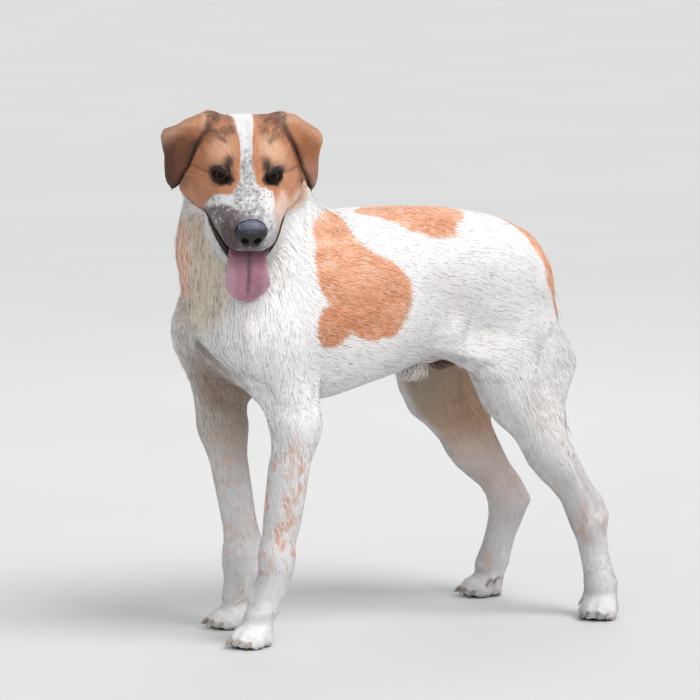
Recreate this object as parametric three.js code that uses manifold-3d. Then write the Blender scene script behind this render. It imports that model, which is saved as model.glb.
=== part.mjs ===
// A large young livestock-guardian dog as a still, life-size model.
// Millimetres. The dog faces -Y, its left side is +X, up is +Z, the floor is z = 0.
// Every solid is the outside of the coat: soft masses are melted into one another,
// a closed shell is drawn over them, and thin flat cuts part one node from the next.
import * as THREE from 'three';
import { mergeVertices } from 'three/addons/utils/BufferGeometryUtils.js';
import Module from 'manifold-3d';

const wasm = await Module();
wasm.setup();
const { Manifold, Mesh: SolidMesh } = wasm;

// ---- driving dimensions -----------------------------------------------------------
const GAP = 0.3;            // clearance between neighbouring nodes
const WITHERS = 612;        // height of the back over the shoulders
const HEAD_AT = [84, -223, 672];   // the point midway between the eyes
const HEAD_TURN = 64;         // the head looks to the dog's left, degrees
const HEAD_NOD = 27;        // and down, degrees
const HEAD_TILT = 1.2;      // left eye a little the lower, degrees
const JAW_DROP = 17;        // opening of the mouth, degrees
const EYE_RADIUS = 12;
const EYE_APART = 36;       // from the middle line
const LEG_CUT = 334;        // level where the forelegs leave the trunk
const PAW_CUT = 44;         // level where the paws begin

// Leg joints, left then right: the dog stands with its hind feet staggered.
const FORE = {
  left: { shoulder: [80, -190, 436], elbow: [90, -146, 318], wrist: [73, -165, 120],
    foot: [67, -196, 30], yaw: 16 },
  right: { shoulder: [-80, -190, 436], elbow: [-93, -160, 298], wrist: [-73, -134, 104],
    foot: [-80, -143, 30], yaw: -2 },
};
const HIND = {
  left: { hip: [60, 224, 500], knee: [100, 212, 340], hock: [119, 338, 152],
    foot: [136, 354, 30], yaw: 38, shank: 25, cannon: 20.5, breech: 9 },
  right: { hip: [-60, 224, 500], knee: [-106, 205, 325], hock: [-97, 346, 146],
    foot: [-110, 319, 30], yaw: -6, shank: 29, cannon: 22.5, breech: 13 },
};

// ---- small helpers ----------------------------------------------------------------
const rad = THREE.MathUtils.degToRad;
const clamp = THREE.MathUtils.clamp;
const lerp = THREE.MathUtils.lerp;
const vec = (a) => new THREE.Vector3(...a);
const AXIS_X = vec([1, 0, 0]);

// A frame with axes (side, along, up) standing at a point.
function frameAt(origin, side, along, up) {
  const matrix = new THREE.Matrix4().makeBasis(side, along, up).setPosition(...origin);
  const inverse = matrix.clone().invert();
  return {
    out: (p) => vec(p).applyMatrix4(matrix),
    into: (p) => p.clone().applyMatrix4(inverse),
    turn: (d) => vec(d).transformDirection(matrix),
  };
}

function turnedFrame(origin, yaw, pitch = 0, roll = 0) {
  const q = new THREE.Quaternion().setFromEuler(
    new THREE.Euler(rad(pitch), rad(roll), rad(yaw), 'ZXY'));
  const side = vec([1, 0, 0]).applyQuaternion(q);
  const along = vec([0, -1, 0]).applyQuaternion(q);
  return frameAt(origin, side, along, vec([0, 0, 1]).applyQuaternion(q));
}

const head = turnedFrame(HEAD_AT, HEAD_TURN, HEAD_NOD, HEAD_TILT);
const body = frameAt([0, 0, 0], AXIS_X, vec([0, 1, 0]), vec([0, 0, 1]));

// ---- masses: each returns the distance from a point to its surface ------------------
// A tapered rod with round ends; `thin` flattens it across the dog.
function rod(a, ra, b, rb, thin = 1, frame = body) {
  const start = vec(a), run = vec(b).sub(start);
  run.x /= thin;
  const length2 = run.lengthSq();
  return (p) => {
    const q = frame.into(p).sub(start);
    q.x /= thin;
    const t = clamp(q.dot(run) / length2, 0, 1);
    return (q.addScaledVector(run, -t).length() - lerp(ra, rb, t)) * Math.min(1, thin);
  };
}

// An egg with three half-sizes.
function egg(at, half, frame = body) {
  const c = vec(at), h = vec(half);
  return (p) => {
    const q = frame.into(p).sub(c);
    const far = q.length();
    const k = q.divide(h).length();
    return k < 1e-6 ? -Math.min(...half) : far * (1 - 1 / k);
  };
}

// A long form with its own top, bottom and half-width at each station along a frame.
function hull(stations, power, frame = body) {
  const at = stations.map((s) => s[0]);
  const first = at[0], last = at[at.length - 1];
  const rule = new THREE.CubicInterpolant(at, stations.flatMap((s) => s.slice(1)), 3, []);
  return (p) => {
    const q = frame.into(p);
    const y = clamp(q.y, first, last);
    const [top, bottom, half] = rule.evaluate(y);
    const tall = (top - bottom) / 2, z = q.z - (top + bottom) / 2;
    const far = Math.hypot(q.x, z);
    const k = (Math.abs(q.x / half) ** power + Math.abs(z / tall) ** power) ** (1 / power);
    const d = k < 1e-6 ? -Math.min(half, tall) : far * (1 - 1 / k);
    const beyond = Math.abs(q.y - y);
    return beyond > 0 ? Math.hypot(Math.max(d, 0), beyond) : d;
  };
}

// Melt masses together over a width.
function melt(width, ...masses) {
  return (p) => {
    let d = masses[0](p);
    for (let i = 1; i < masses.length; i++) {
      const e = masses[i](p);
      const h = Math.max(width - Math.abs(d - e), 0) / width;
      d = Math.min(d, e) - h * h * width * 0.25;
    }
    return d;
  };
}

// ---- shells: a capsule laid along a path and let out to the surface of a mass --------
function cast(path, { around, along, ends = 4, grow = 0, side = AXIS_X }, mass) {
  const capsule = new THREE.CapsuleGeometry(1, along, ends, around, along);
  const shape = weld(capsule);
  const place = shape.attributes.position;
  const v = new THREE.Vector3();
  for (let i = 0; i < place.count; i++) {
    v.fromBufferAttribute(place, i);
    const level = clamp(v.y, -along / 2, along / 2);
    const t = level / along + 0.5;
    const centre = path.getPointAt(t);
    const forward = path.getTangentAt(t);
    const across = side.clone().addScaledVector(forward, -side.dot(forward)).normalize();
    const third = new THREE.Vector3().crossVectors(across, forward);
    const ray = across.multiplyScalar(v.x).addScaledVector(forward, v.y - level)
      .addScaledVector(third, v.z).normalize();
    const far = reach(centre, ray, mass, grow);
    place.setXYZ(i, ...centre.addScaledVector(ray, far));
  }
  return shape;
}

// How far a ray runs before it leaves the mass.
function reach(from, ray, mass, grow) {
  const at = (t) => mass(from.clone().addScaledVector(ray, t)) - grow;
  let near = 0, far = 0, d = at(0);
  while (d < 0 && far < 400) {
    near = far;
    far += Math.max(0.7 * -d, 1.5);
    d = at(far);
  }
  for (let i = 0; i < 14; i++) {
    const mid = (near + far) / 2;
    if (at(mid) < 0) near = mid; else far = mid;
  }
  return Math.max(near, 0.5);
}

// A shell of flattened rings along a path: sizes give [t, half-width, half-thickness].
function strap(path, sizes, { around, along, side, grow = 0, wave = () => 0 }) {
  const ball = new THREE.SphereGeometry(1, around, along);
  const shape = weld(ball);
  const rule = new THREE.CubicInterpolant(sizes.map((s) => s[0]),
    sizes.flatMap((s) => s.slice(1)), 2, []);
  const place = shape.attributes.position;
  const v = new THREE.Vector3();
  for (let i = 0; i < place.count; i++) {
    v.fromBufferAttribute(place, i);
    const t = Math.acos(clamp(v.y, -1, 1)) / Math.PI;
    const ring = Math.max(Math.hypot(v.x, v.z), 1e-9);
    const full = Math.sin(Math.PI * t) < 1e-6 ? 0 : Math.min(1, 3.2 * Math.sin(Math.PI * t)) ** 0.6;
    const centre = path.getPointAt(t), forward = path.getTangentAt(t);
    const lay = typeof side === 'function' ? side(t) : side.clone();
    const across = lay.addScaledVector(forward, -lay.dot(forward)).normalize();
    const thick = new THREE.Vector3().crossVectors(forward, across);
    const [wide, deep] = rule.evaluate(t);
    const cs = v.x / ring, sn = v.z / ring;
    centre.addScaledVector(across, cs * (wide + grow) * full)
      .addScaledVector(thick, sn * (deep + grow) * full + wave(t, cs));
    place.setXYZ(i, ...centre);
  }
  return shape;
}

function weld(shape) {
  shape.deleteAttribute('uv');
  shape.deleteAttribute('normal');
  return mergeVertices(shape, 1e-4);
}

// ---- solids ---------------------------------------------------------------------------
function solid(shape) {
  const mesh = new SolidMesh({
    numProp: 3,
    vertProperties: new Float32Array(shape.attributes.position.array),
    triVerts: new Uint32Array(shape.index.array),
  });
  return new Manifold(mesh);
}

// Keep what lies on the side of a plane that its normal points to.
const keep = (piece, normal, point, grow = 0) => {
  const n = vec(normal).normalize();
  return piece.trimByPlane(n.toArray(), n.dot(vec(point)) - grow);
};
const curve = (...points) => new THREE.CatmullRomCurve3(points.map((p) => vec(p)));
const headCurve = (...points) => new THREE.CatmullRomCurve3(points.map((p) => head.out(p)));

// ---- the form of the body --------------------------------------------------------------
const trunkForm = hull([
  // along, top, bottom, half-width
  [-236, 492, 440, 26], [-226, 522, 408, 62], [-180, 580, 366, 86], [-120, 606, 342, 98],
  [-64, WITHERS - 4, 337, 106], [0, WITHERS, 352, 110], [60, WITHERS, 367, 107],
  [120, WITHERS - 2, 387, 98], [180, WITHERS - 8, 404, 90], [240, 586, 416, 84],
  [285, 552, 428, 70], [312, 515, 440, 50], [324, 488, 455, 24],
], 2.3);
const neckFrame = turnedFrame([-12, -170, 0], HEAD_TURN);
const neckForm = melt(40,
  rod([0, -160, 478], 102, [-6, -170, 560], 92),
  rod([4, 2, 560], 76, [6, 4, 650], 71, 1.25, neckFrame),
  rod([-16, -158, 600], 62, head.out([2, -88, -4]).toArray(), 46));

function foreForm({ shoulder, elbow, wrist, foot }, s) {
  return melt(26,
    rod([s * 38, -98, 558], 44, shoulder, 52, 0.9),
    rod(shoulder, 52, elbow, 33),
    rod(elbow, 30, wrist, 24),
    rod(elbow, 26, [elbow[0] + 5 * s, elbow[1] + 12, elbow[2] - 6], 19),
    rod(wrist, 25.5, [wrist[0], wrist[1] - 2, wrist[2] - 8], 25),
    rod(wrist, 23, foot, 22.5));
}

function hindForm({ hip, knee, hock, foot, shank, cannon, breech }, s) {
  const down = (t) => [lerp(knee[0], hock[0], t), lerp(knee[1], hock[1], t),
    lerp(knee[2], hock[2], t)];
  return melt(30,
    rod(hip, 78, knee, 39, 0.76),
    rod(knee, 39, down(0.55), shank, 0.85),
    rod(down(0.5), shank, hock, 20),
    rod([s * 56, 252, 472], 46, [s * 84, 288 + breech, 376], 33),
    rod([s * 84, 288 + breech, 376], 33,
      [down(0.6)[0], hock[1] - 74 + breech / 2, hock[2] + 104], 18),
    rod([hock[0], hock[1] - 52 + breech / 2, hock[2] + 88], 12, [hock[0], hock[1] + 12, hock[2] + 6], 13),
    rod(hock, cannon + 1.5, foot, cannon),
    rod([s * 90, 116, 412], 16, [knee[0] - 4 * s, knee[1] - 10, knee[2] + 26], 32));
}

const limbs = {
  fore: { left: foreForm(FORE.left, 1), right: foreForm(FORE.right, -1) },
  hind: { left: hindForm(HIND.left, 1), right: hindForm(HIND.right, -1) },
};
const sheath = rod([0, 190, 412], 18, [0, 136, 392], 12);

// ---- the form of the head, in its own frame: across, forward, up ------------------------
const skullForm = hull([
  // forward, top, bottom, half-width
  [-122, 12, -30, 34], [-105, 38, -56, 60], [-75, 52, -74, 70], [-45, 58, -74, 71],
  [-18, 52, -64, 62], [8, 31, -50, 42], [30, 13, -48, 31], [55, 6, -52, 28],
  [80, 1, -56, 28], [96, -4, -60, 28], [106, -12, -58, 24], [111, -22, -52, 15],
], 2.25, head);
const both = (make) => [make(1), make(-1)];
const headForm = melt(20, skullForm,
  ...both((s) => rod([s * 32, 0, 20], 11, [s * 48, -24, 18], 11, 1, head)),
  ...both((s) => rod([s * 50, -2, -17], 12, [s * 68, -42, -12], 16, 1, head)),
  ...both((s) => rod([s * 46, 2, -38], 21, [s * 56, -52, -48], 35, 1, head)),
  ...both((s) => rod([s * 23, 87, -45], 18, [s * 38, 34, -43], 18, 1, head)),
  ...both((s) => rod([s * 17, 84, -27], 16, [s * 29, 30, -18], 17, 1, head)),
  rod([0, -28, -52], 40, [0, -60, -70], 50, 1, head),
  ...both((s) => egg([s * 52, -66, 38], [24, 26, 24], head)));

// The lower jaw hangs from a hinge under the cheeks.
const jaw = (() => {
  const hinge = head.out([0, -35, -40]);
  const q = rad(JAW_DROP);
  const along = head.turn([0, Math.cos(q), -Math.sin(q)]);
  const up = head.turn([0, Math.sin(q), Math.cos(q)]);
  return frameAt(hinge.toArray(), head.turn([1, 0, 0]), along, up);
})();
const jawForm = melt(10,
  hull([[10, 8, -42, 48], [45, 20, -46, 56], [70, 24, -46, 56], [96, 20, -42, 49],
    [112, 12, -40, 41], [122, 2, -37, 31], [129, -7, -31, 14]], 2.3, jaw),
  egg([0, 20, -30], [38, 36, 20], jaw));

const wholeForm = melt(44, trunkForm, neckForm, limbs.fore.left, limbs.fore.right,
  limbs.hind.left, limbs.hind.right, sheath);

// ---- cutting planes: a point and the direction of the piece beyond ----------------------
const planeAt = (normal, point) => {
  const n = vec(normal).normalize();
  return { n, level: n.dot(vec(point)) };
};
const NECK_PLANE = planeAt([0, -0.62, 0.78], [0, -150, 566]);
const FORE_PLANE = planeAt([0, 0, 1], [0, 0, LEG_CUT]);
const HIND_PLANE = planeAt([0, -0.3, 0.954], [0, 130, 366]);
const beyond = (piece, { n, level }) => piece.trimByPlane(n.toArray(), level);
const before = (piece, { n, level }) =>
  piece.trimByPlane(n.clone().negate().toArray(), GAP - level);

// Masses end a little way past a cut, so that a shell there is drawn square to it.
const PAST = 40;
const endPast = (mass, sideOf) => (p) => Math.max(mass(p), sideOf(p) - PAST);
const pastBeyond = (mass, { n, level }) => endPast(mass, (p) => level - n.dot(p));
const pastBefore = (mass, { n, level }) => endPast(mass, (p) => n.dot(p) - level);

// ---- trunk, neck and head -----------------------------------------------------------------
const nodes = [];
const add = (name, piece, colour, roughness = 0.9) => nodes.push({ name, piece, colour, roughness });

const WHITE = '#e9e4da', ORANGE = '#c07a45', BROWN = '#7d5138', PINK = '#b77f86';
const BLACK = '#191718', HORN = '#8f8478', DARK_HORN = '#2a2523', AMBER = '#4a2a14';

const trunkShell = (grow = 0) => solid(cast(
  curve([0, -158, 455], [0, -40, 470], [0, 110, 488], [0, 245, 498]),
  { around: 36, along: 18, ends: 5, grow },
  pastBefore(pastBeyond(pastBeyond(wholeForm, FORE_PLANE), HIND_PLANE), NECK_PLANE)));
const trunk = before(beyond(beyond(trunkShell(), FORE_PLANE), HIND_PLANE), NECK_PLANE);
add('trunk', trunk, WHITE);

const neckSolid = solid(cast(curve([0, -158, 540], [-7, -169, 600], [-12, -173, 655]),
  { around: 24, along: 7, ends: 6 }, pastBeyond(wholeForm, NECK_PLANE)));
const neckPiece = beyond(neckSolid, NECK_PLANE);

const headShell = (grow) => solid(cast(
  headCurve([0, -78, -10], [0, -35, -12], [0, 10, -18], [0, 50, -27], [0, 84, -31]),
  { around: 30, along: 15, ends: 5, side: head.turn([1, 0, 0]), grow }, headForm));

// The hollow of the mouth: its roof is cut from the head, its floor from the lower jaw.
const hollow = (back, front, radius) => solid(cast(
  headCurve([0, ...back], [0, lerp(back[0], front[0], 0.5), lerp(back[1], front[1], 0.5)],
    [0, ...front]),
  { around: 16, along: 6, ends: 3, side: head.turn([1, 0, 0]) },
  melt(8, ...both((s) => rod([s * 16, ...back], radius, [s * 14, ...front], radius, 1, head)))));
const mouthRoof = hollow([16, -64], [88, -62], 13);
const mouthFloor = hollow([24, -56], [102, -77], 14);
const eyeball = (s, grow = 0) => {
  const ball = new THREE.SphereGeometry(EYE_RADIUS + grow, 12, 8);
  ball.translate(...head.out([s * EYE_APART, 9, 5]).toArray());
  return solid(weld(ball));
};

// ---- ears: folded leather, hinged on the side of the skull ---------------------------------
const earShape = (s, grow = 0) => {
  const slim = s > 0 ? 0.86 : 1;      // the left ear is held a little more edge-on
  const out = s > 0 ? 2 : 6;
  const fold = s > 0 ? 0 : 6;         // the right ear folds a little lower
  const path = headCurve([s * 60, -86, 20], [s * 72, -76, 40 - fold],
    [s * (79 + out), -60, 45 - fold], [s * (84 + out), -46, 34 - fold],
    [s * (88 + out), -37, 8 - fold / 2], [s * (93 + out), -31, -17],
    [s * (94 + out), -28, -43]);
  const side = (t) => head.turn([s * 0.85, lerp(0.1, -0.45, t), lerp(-0.64, -0.1, t)]);
  const flap = s > 0 ? 0.9 : 1;
  const sizes = [[0, 28, 14], [0.3, s > 0 ? 33 : 36, 10.5], [0.45, 32, 8],
    [0.65, 21 * flap, 6.5], [0.82, 14.5 * flap, 5.5], [0.94, 10 * flap, 4.8], [1, 6, 4]]
    .map(([t, wide, deep]) => [t, wide * slim, deep]);
  return solid(strap(path, sizes, { around: 12, along: 12, side, grow }));
};

// ---- nose, tongue and jaw ---------------------------------------------------------------------
const noseForm = hull([[94, -11, -28, 12], [102, -9, -40, 20], [110, -12, -43, 22.5],
  [117, -18, -41, 17], [121, -25, -35, 8]], 2.5, head);
const noseShell = (grow = 0) => solid(cast(headCurve([0, 103, -25], [0, 111, -28]),
  { around: 14, along: 2, ends: 3, side: head.turn([1, 0, 0]), grow }, noseForm));

const tonguePath = headCurve([0, 18, -62], [0, 52, -70], [0, 76, -78], [0, 89, -94],
  [1, 93, -118], [4, 89, -150]);
const tongueShell = (grow = 0) => solid(strap(tonguePath,
  [[0, 14, 6], [0.2, 20, 7], [0.45, 22, 6.5], [0.6, 26, 6], [0.8, 33, 5.5], [0.93, 28, 5],
    [1, 14, 4]], {
    around: 12, along: 12, side: head.turn([1, 0, 0]), grow,
    wave: (t, c) => 4 * c * c * Math.sin(Math.PI * t),
  }));
const jawShell = (grow = 0) => solid(cast(
  (() => new THREE.CatmullRomCurve3([[0, 8, -18], [0, 50, -13], [0, 106, -15]]
    .map((p) => jaw.out(p))))(),
  { around: 18, along: 7, ends: 3, side: head.turn([1, 0, 0]), grow }, jawForm));

const ears = both((s) => earShape(s));
const grownEars = both((s) => earShape(s, GAP));
const carvedHead = headShell(0).subtract(mouthRoof).subtract(noseShell(GAP))
  .subtract(eyeball(1, GAP)).subtract(eyeball(-1, GAP))
  .subtract(grownEars[0]).subtract(grownEars[1]).subtract(tongueShell(GAP));
add('head', biggest(carvedHead), ORANGE);
add('neck', biggest(neckPiece.subtract(headShell(GAP)).subtract(grownEars[0])
  .subtract(grownEars[1]).subtract(jawShell(GAP)).subtract(tongueShell(GAP))), WHITE);
add('lower_jaw', biggest(jawShell().subtract(headShell(GAP)).subtract(mouthFloor)
  .subtract(tongueShell(GAP))), BROWN);
add('ear_left', ears[0], BROWN);
add('ear_right', ears[1], BROWN);
add('eye_left', eyeball(1), AMBER, 0.15);
add('eye_right', eyeball(-1), AMBER, 0.15);
add('nose', noseShell(), BLACK, 0.4);
add('tongue', tongueShell(), PINK, 0.45);

// The largest closed body of a cut piece; slivers cut loose are dropped.
function biggest(piece) {
  return piece.decompose().sort((a, b) => b.volume() - a.volume())[0];
}

// ---- tail ----------------------------------------------------------------------------------------
const tailPath = curve([0, 292, 520], [0, 318, 494], [0, 334, 455], [0, 346, 390],
  [0, 356, 300], [0, 372, 225], [0, 392, 180]);
const tailSizes = [[0, 25, 25], [0.15, 26, 26], [0.4, 24, 25], [0.7, 21, 23], [0.9, 14, 15],
  [1, 5, 5]];
const tailShape = (grow = 0) => solid(strap(tailPath, tailSizes,
  { around: 10, along: 13, side: AXIS_X, grow }));

// ---- legs and paws ----------------------------------------------------------------------------------
const toeSpread = [[-18, 20, 9], [-7, 31, 12], [7, 31, 12], [18, 20, 9]];
const pawFrame = ({ foot, yaw }) => turnedFrame([foot[0], foot[1], 0], yaw);

function pawForm(leg, big) {
  const at = pawFrame(leg);
  const wide = big ? 1.06 : 1.1;
  const inner = leg.foot[0] > 0 ? -1 : 1;
  return melt(7,
    rod([0, -4, 52], 22.5, [0, 2, 24], 22, 1, at),
    egg([0, -2, 12], [24 * wide, 22, 15], at),
    ...(big ? [] : [0, 1].map((k) => rod([inner * 15, -4 - 10 * k, 50], 8,
      [inner * 24, 6 - 12 * k, 30 + 3 * k], 6, 1, at))),
    ...toeSpread.map(([x, y, h]) => melt(5,
      rod([x * 0.7 * wide, y * 0.25, 24], 10, [x * wide, y + 1, h + 7], 9.5, 1, at),
      egg([x * wide, y + 3, h], [10.4, 14, 11], at))));
}

const pawShell = (leg, big, grow = 0) => {
  const at = pawFrame(leg);
  const line = new THREE.CatmullRomCurve3([at.out([0, -2, 46]), at.out([0, 2, 24]),
    at.out([0, 12, 15])]);
  const shell = solid(cast(line, { around: 20, along: 4, ends: 4, grow, side: at.turn([1, 0, 0]) },
    pawForm(leg, big)));
  return keep(keep(shell, [0, 0, 1], [0, 0, 0], grow), [0, 0, -1], [0, 0, PAW_CUT - GAP], grow);
};

// A claw curving forward and down out of its toe.
function claw(at, x, y, z, reachOut, drop, thick, lean = 0) {
  const path = new THREE.CatmullRomCurve3([at.out([x, y - 6, z + 1]),
    at.out([x + lean * 0.4, y + reachOut * 0.45, z]),
    at.out([x + lean, y + reachOut, z - drop])]);
  return solid(strap(path, [[0, thick, thick * 1.1], [0.5, thick * 0.85, thick], [0.85, 1.7, 2],
    [1, 0.8, 0.8]], { around: 5, along: 4, side: at.turn([1, 0, 0]) }));
}

for (const [group, legs, cut] of [['fore', FORE, FORE_PLANE], ['hind', HIND, HIND_PLANE]]) {
  for (const [side, leg] of Object.entries(legs)) {
    const front = group === 'fore';
    const s = side === 'left' ? 1 : -1;
    const paw = pawShell(leg, front);
    const pawGrown = pawShell(leg, front, GAP);
    const at = pawFrame(leg);
    const ownSide = (p) => Math.max(wholeForm(p), 0.5 - s * p.x);
    const mass = melt(12, pastBefore(ownSide, cut), pawForm(leg, front),
      ...(front ? [rod([-s * 14, -4, 80], 12, [-s * 25, 2, 66], 6.5, 1, at)] : []));
    const foot = [leg.foot[0], leg.foot[1], 22];
    const path = front
      ? curve([leg.elbow[0] - 4 * s, leg.elbow[1] - 12, LEG_CUT + 24],
        [leg.elbow[0], leg.elbow[1], leg.elbow[2] - 14],
        [lerp(leg.elbow[0], leg.wrist[0], 0.5), lerp(leg.elbow[1], leg.wrist[1], 0.5),
          lerp(leg.elbow[2], leg.wrist[2], 0.5)], leg.wrist, foot)
      : curve([leg.hip[0] + 14 * s, 236, 432], [leg.knee[0] - 4 * s, leg.knee[1] + 26, leg.knee[2] + 2],
        [lerp(leg.knee[0], leg.hock[0], 0.55), lerp(leg.knee[1], leg.hock[1], 0.56),
          lerp(leg.knee[2], leg.hock[2], 0.5)],
        [leg.hock[0], leg.hock[1] - 3, leg.hock[2]], foot);
    const shell = solid(cast(path, { around: 14, along: front ? 15 : 18, ends: 3 }, mass));
    let piece = before(shell, cut);
    piece = keep(piece, [0, 0, 1], [0, 0, PAW_CUT]);
    add(`${group}leg_${side}`, biggest(piece), WHITE);
    add(`paw_${group}_${side}`, biggest(paw), WHITE);
    toeSpread.forEach(([x, y, h], i) => {
      const horn = claw(at, x * (front ? 1.06 : 1.1), y + 12, h + 1, 15, 8, 3.4, x * 0.08)
        .subtract(pawGrown);
      add(`claw_${group}_${side}_${i + 1}`, biggest(keep(horn, [0, 0, 1], [0, 0, 0.6])), HORN, 0.5);
    });
    // Dewclaws: one inside each foreleg, a pair low inside each hind leg.
    for (const k of front ? [0] : [0, 1]) {
      const [x, y, z] = front ? [-s * 27, 5, 62] : [-s * 25, 9 - 12 * k, 27 + 3 * k];
      const horn = claw(at, x, y, z, 12, 11, 2.9, -s * 6)
        .subtract(front ? solid(cast(path, { around: 14, along: 15, ends: 3, grow: GAP }, mass))
          : pawGrown);
      add(`dewclaw_${group}_${side}_${k + 1}`, biggest(horn), DARK_HORN, 0.5);
    }
  }
}
add('tail', biggest(tailShape().subtract(trunkShell(GAP))), ORANGE);

// ---- the model -------------------------------------------------------------------------------------------
function asMesh({ name, piece, colour, roughness }) {
  const { vertProperties, triVerts } = piece.getMesh();
  const shape = new THREE.BufferGeometry();
  shape.setAttribute('position', new THREE.BufferAttribute(new Float32Array(vertProperties), 3));
  shape.setIndex(new THREE.BufferAttribute(new Uint32Array(triVerts), 1));
  shape.computeVertexNormals();
  const mesh = new THREE.Mesh(shape,
    new THREE.MeshStandardMaterial({ color: colour, roughness, metalness: 0 }));
  mesh.name = name;
  return mesh;
}

const dog = new THREE.Group();
dog.name = 'livestock_guardian_dog';
for (const node of nodes) dog.add(asMesh(node));

// The origin lies on the floor under the middle of the whole dog.
const middle = new THREE.Box3().setFromObject(dog).getCenter(new THREE.Vector3()).setZ(0);
for (const mesh of dog.children) mesh.geometry.translate(-middle.x, -middle.y, 0);
export default dog;
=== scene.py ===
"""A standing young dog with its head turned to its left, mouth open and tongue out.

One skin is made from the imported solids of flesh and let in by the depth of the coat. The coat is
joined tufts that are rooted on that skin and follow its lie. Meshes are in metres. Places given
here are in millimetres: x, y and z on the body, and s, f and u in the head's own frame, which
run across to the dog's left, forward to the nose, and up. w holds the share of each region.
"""
import math

import bmesh
import bpy
import numpy as np
from mathutils import Matrix, Vector
from mathutils.bvhtree import BVHTree
from mathutils.kdtree import KDTree


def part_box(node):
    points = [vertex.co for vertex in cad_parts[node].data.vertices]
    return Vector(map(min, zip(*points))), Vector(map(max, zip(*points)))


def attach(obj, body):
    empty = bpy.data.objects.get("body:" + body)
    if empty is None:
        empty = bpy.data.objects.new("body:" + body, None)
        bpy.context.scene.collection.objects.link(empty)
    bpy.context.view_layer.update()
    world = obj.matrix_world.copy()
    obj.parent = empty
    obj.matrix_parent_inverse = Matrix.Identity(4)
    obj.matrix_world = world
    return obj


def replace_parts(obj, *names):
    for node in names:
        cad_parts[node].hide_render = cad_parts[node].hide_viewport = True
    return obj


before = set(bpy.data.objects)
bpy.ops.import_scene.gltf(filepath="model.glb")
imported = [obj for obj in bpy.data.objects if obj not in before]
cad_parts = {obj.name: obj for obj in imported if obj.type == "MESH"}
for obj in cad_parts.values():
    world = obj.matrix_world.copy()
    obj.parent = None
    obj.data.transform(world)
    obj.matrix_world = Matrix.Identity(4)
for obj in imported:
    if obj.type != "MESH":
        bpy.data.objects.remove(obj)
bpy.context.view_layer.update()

scene = bpy.context.scene
MM = 0.001
MIDDLE = -18                                             # x of the body's middle plane
ON_FLOOR = 0.0002                                        # the skin keeps this clear of the floor
rng = np.random.default_rng(41)

# ---- the head's own frame ----------------------------------------------------------------------
HEAD_TURN, HEAD_NOD, HEAD_TILT = 64, 27, 1.2          # degrees
EYE_OUT, EYE_FORWARD, EYE_UP, EYE_RADIUS = 36, 9, 5, 12
turn = (Matrix.Rotation(math.radians(HEAD_TURN), 3, "Z")
        @ Matrix.Rotation(math.radians(HEAD_NOD), 3, "X")
        @ Matrix.Rotation(math.radians(HEAD_TILT), 3, "Y"))
HEAD_AXES = np.array([turn.col[0], -turn.col[1], turn.col[2]])
eye_centres = [np.array(sum(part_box(name), Vector()) / 2) for name in ("eye_right", "eye_left")]
HEAD_AT = sum(eye_centres) / 2 - MM * np.array([0, EYE_FORWARD, EYE_UP]) @ HEAD_AXES


def in_head(points):
    """Places in the head's frame: across, forward and up, in millimetres."""
    return (points - HEAD_AT) @ HEAD_AXES.T / MM


def from_head(places):
    """The other way: places given in the head's frame, in metres."""
    return HEAD_AT + MM * np.asarray(places, float) @ HEAD_AXES


# ---- arithmetic on arrays ----------------------------------------------------------------------
TRACE = 1e-6                                             # too little to turn any other direction


def rise(low, high, x):
    """0 below low, 1 above high, smooth between; low may be the larger."""
    t = np.clip((x - low) / (high - low), 0, 1)
    return t * t * (3 - 2 * t)


def unit(v):
    return v / np.maximum(np.linalg.norm(v, axis=-1, keepdims=True), 1e-12)


def length(v):
    return np.linalg.norm(v, axis=-1)


def along_surface(v, normal):
    """The part of v that lies in the surface, as a direction; down where no part of it does."""
    flat = v - normal * np.sum(v * normal, axis=1, keepdims=True)
    return unit(flat + TRACE * np.array([0, 0.2, -1]))


def ripple(points, size, seed):
    """Smooth noise from -1 to 1, with lumps of about that size."""
    q = points / size + seed * 7.31
    cell = np.floor(q).astype(np.int64)
    part = q - cell
    part = part * part * (3 - 2 * part)
    total = np.zeros(len(q))
    for corner in range(8):
        step = np.array([corner & 1, corner >> 1 & 1, corner >> 2 & 1])
        k = cell + step
        h = k[:, 0] * 73856093 ^ k[:, 1] * 19349663 ^ k[:, 2] * 83492791 ^ seed * 97
        h = h & 0xFFFFFFFF
        h = ((h ^ h >> 15) * 2246822519) & 0xFFFFFFFF
        h = ((h ^ h >> 13) * 3266489917) & 0xFFFFFFFF
        value = ((h ^ h >> 16) & 0xFFFF) / 32767.5 - 1
        total += value * np.prod(np.where(step, part, 1 - part), axis=1)
    return total


def spots(points, size, seed, share):
    """1 inside scattered round spots of that size, which cover about that share of the skin."""
    return rise(1 - 2.2 * share, 1 - 1.4 * share, np.abs(ripple(points, size, seed)) * 1.25)


# ---- meshes as arrays --------------------------------------------------------------------------
def places(mesh):
    co = np.empty(len(mesh.vertices) * 3, np.float32)
    mesh.vertices.foreach_get("co", co)
    return co.reshape(-1, 3).astype(float)


def place(mesh, co):
    mesh.vertices.foreach_set("co", np.ascontiguousarray(co, np.float32).ravel())
    mesh.update()


def normals(mesh):
    n = np.empty(len(mesh.vertices) * 3, np.float32)
    mesh.vertex_normals.foreach_get("vector", n)
    return n.reshape(-1, 3).astype(float)


def edge_ends(mesh):
    ends = np.empty(len(mesh.edges) * 2, np.int32)
    mesh.edges.foreach_get("vertices", ends)
    return ends.reshape(-1, 2)


def neighbour_mean(values, ends):
    """The mean of the values at the other ends of each vertex's edges."""
    count = np.bincount(ends.ravel(), minlength=len(values))[:, None]
    total = np.stack([np.bincount(ends[:, 0], values[ends[:, 1], k], len(values))
                      + np.bincount(ends[:, 1], values[ends[:, 0], k], len(values))
                      for k in range(values.shape[1])], axis=1)
    return total / np.maximum(count, 1)


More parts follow.
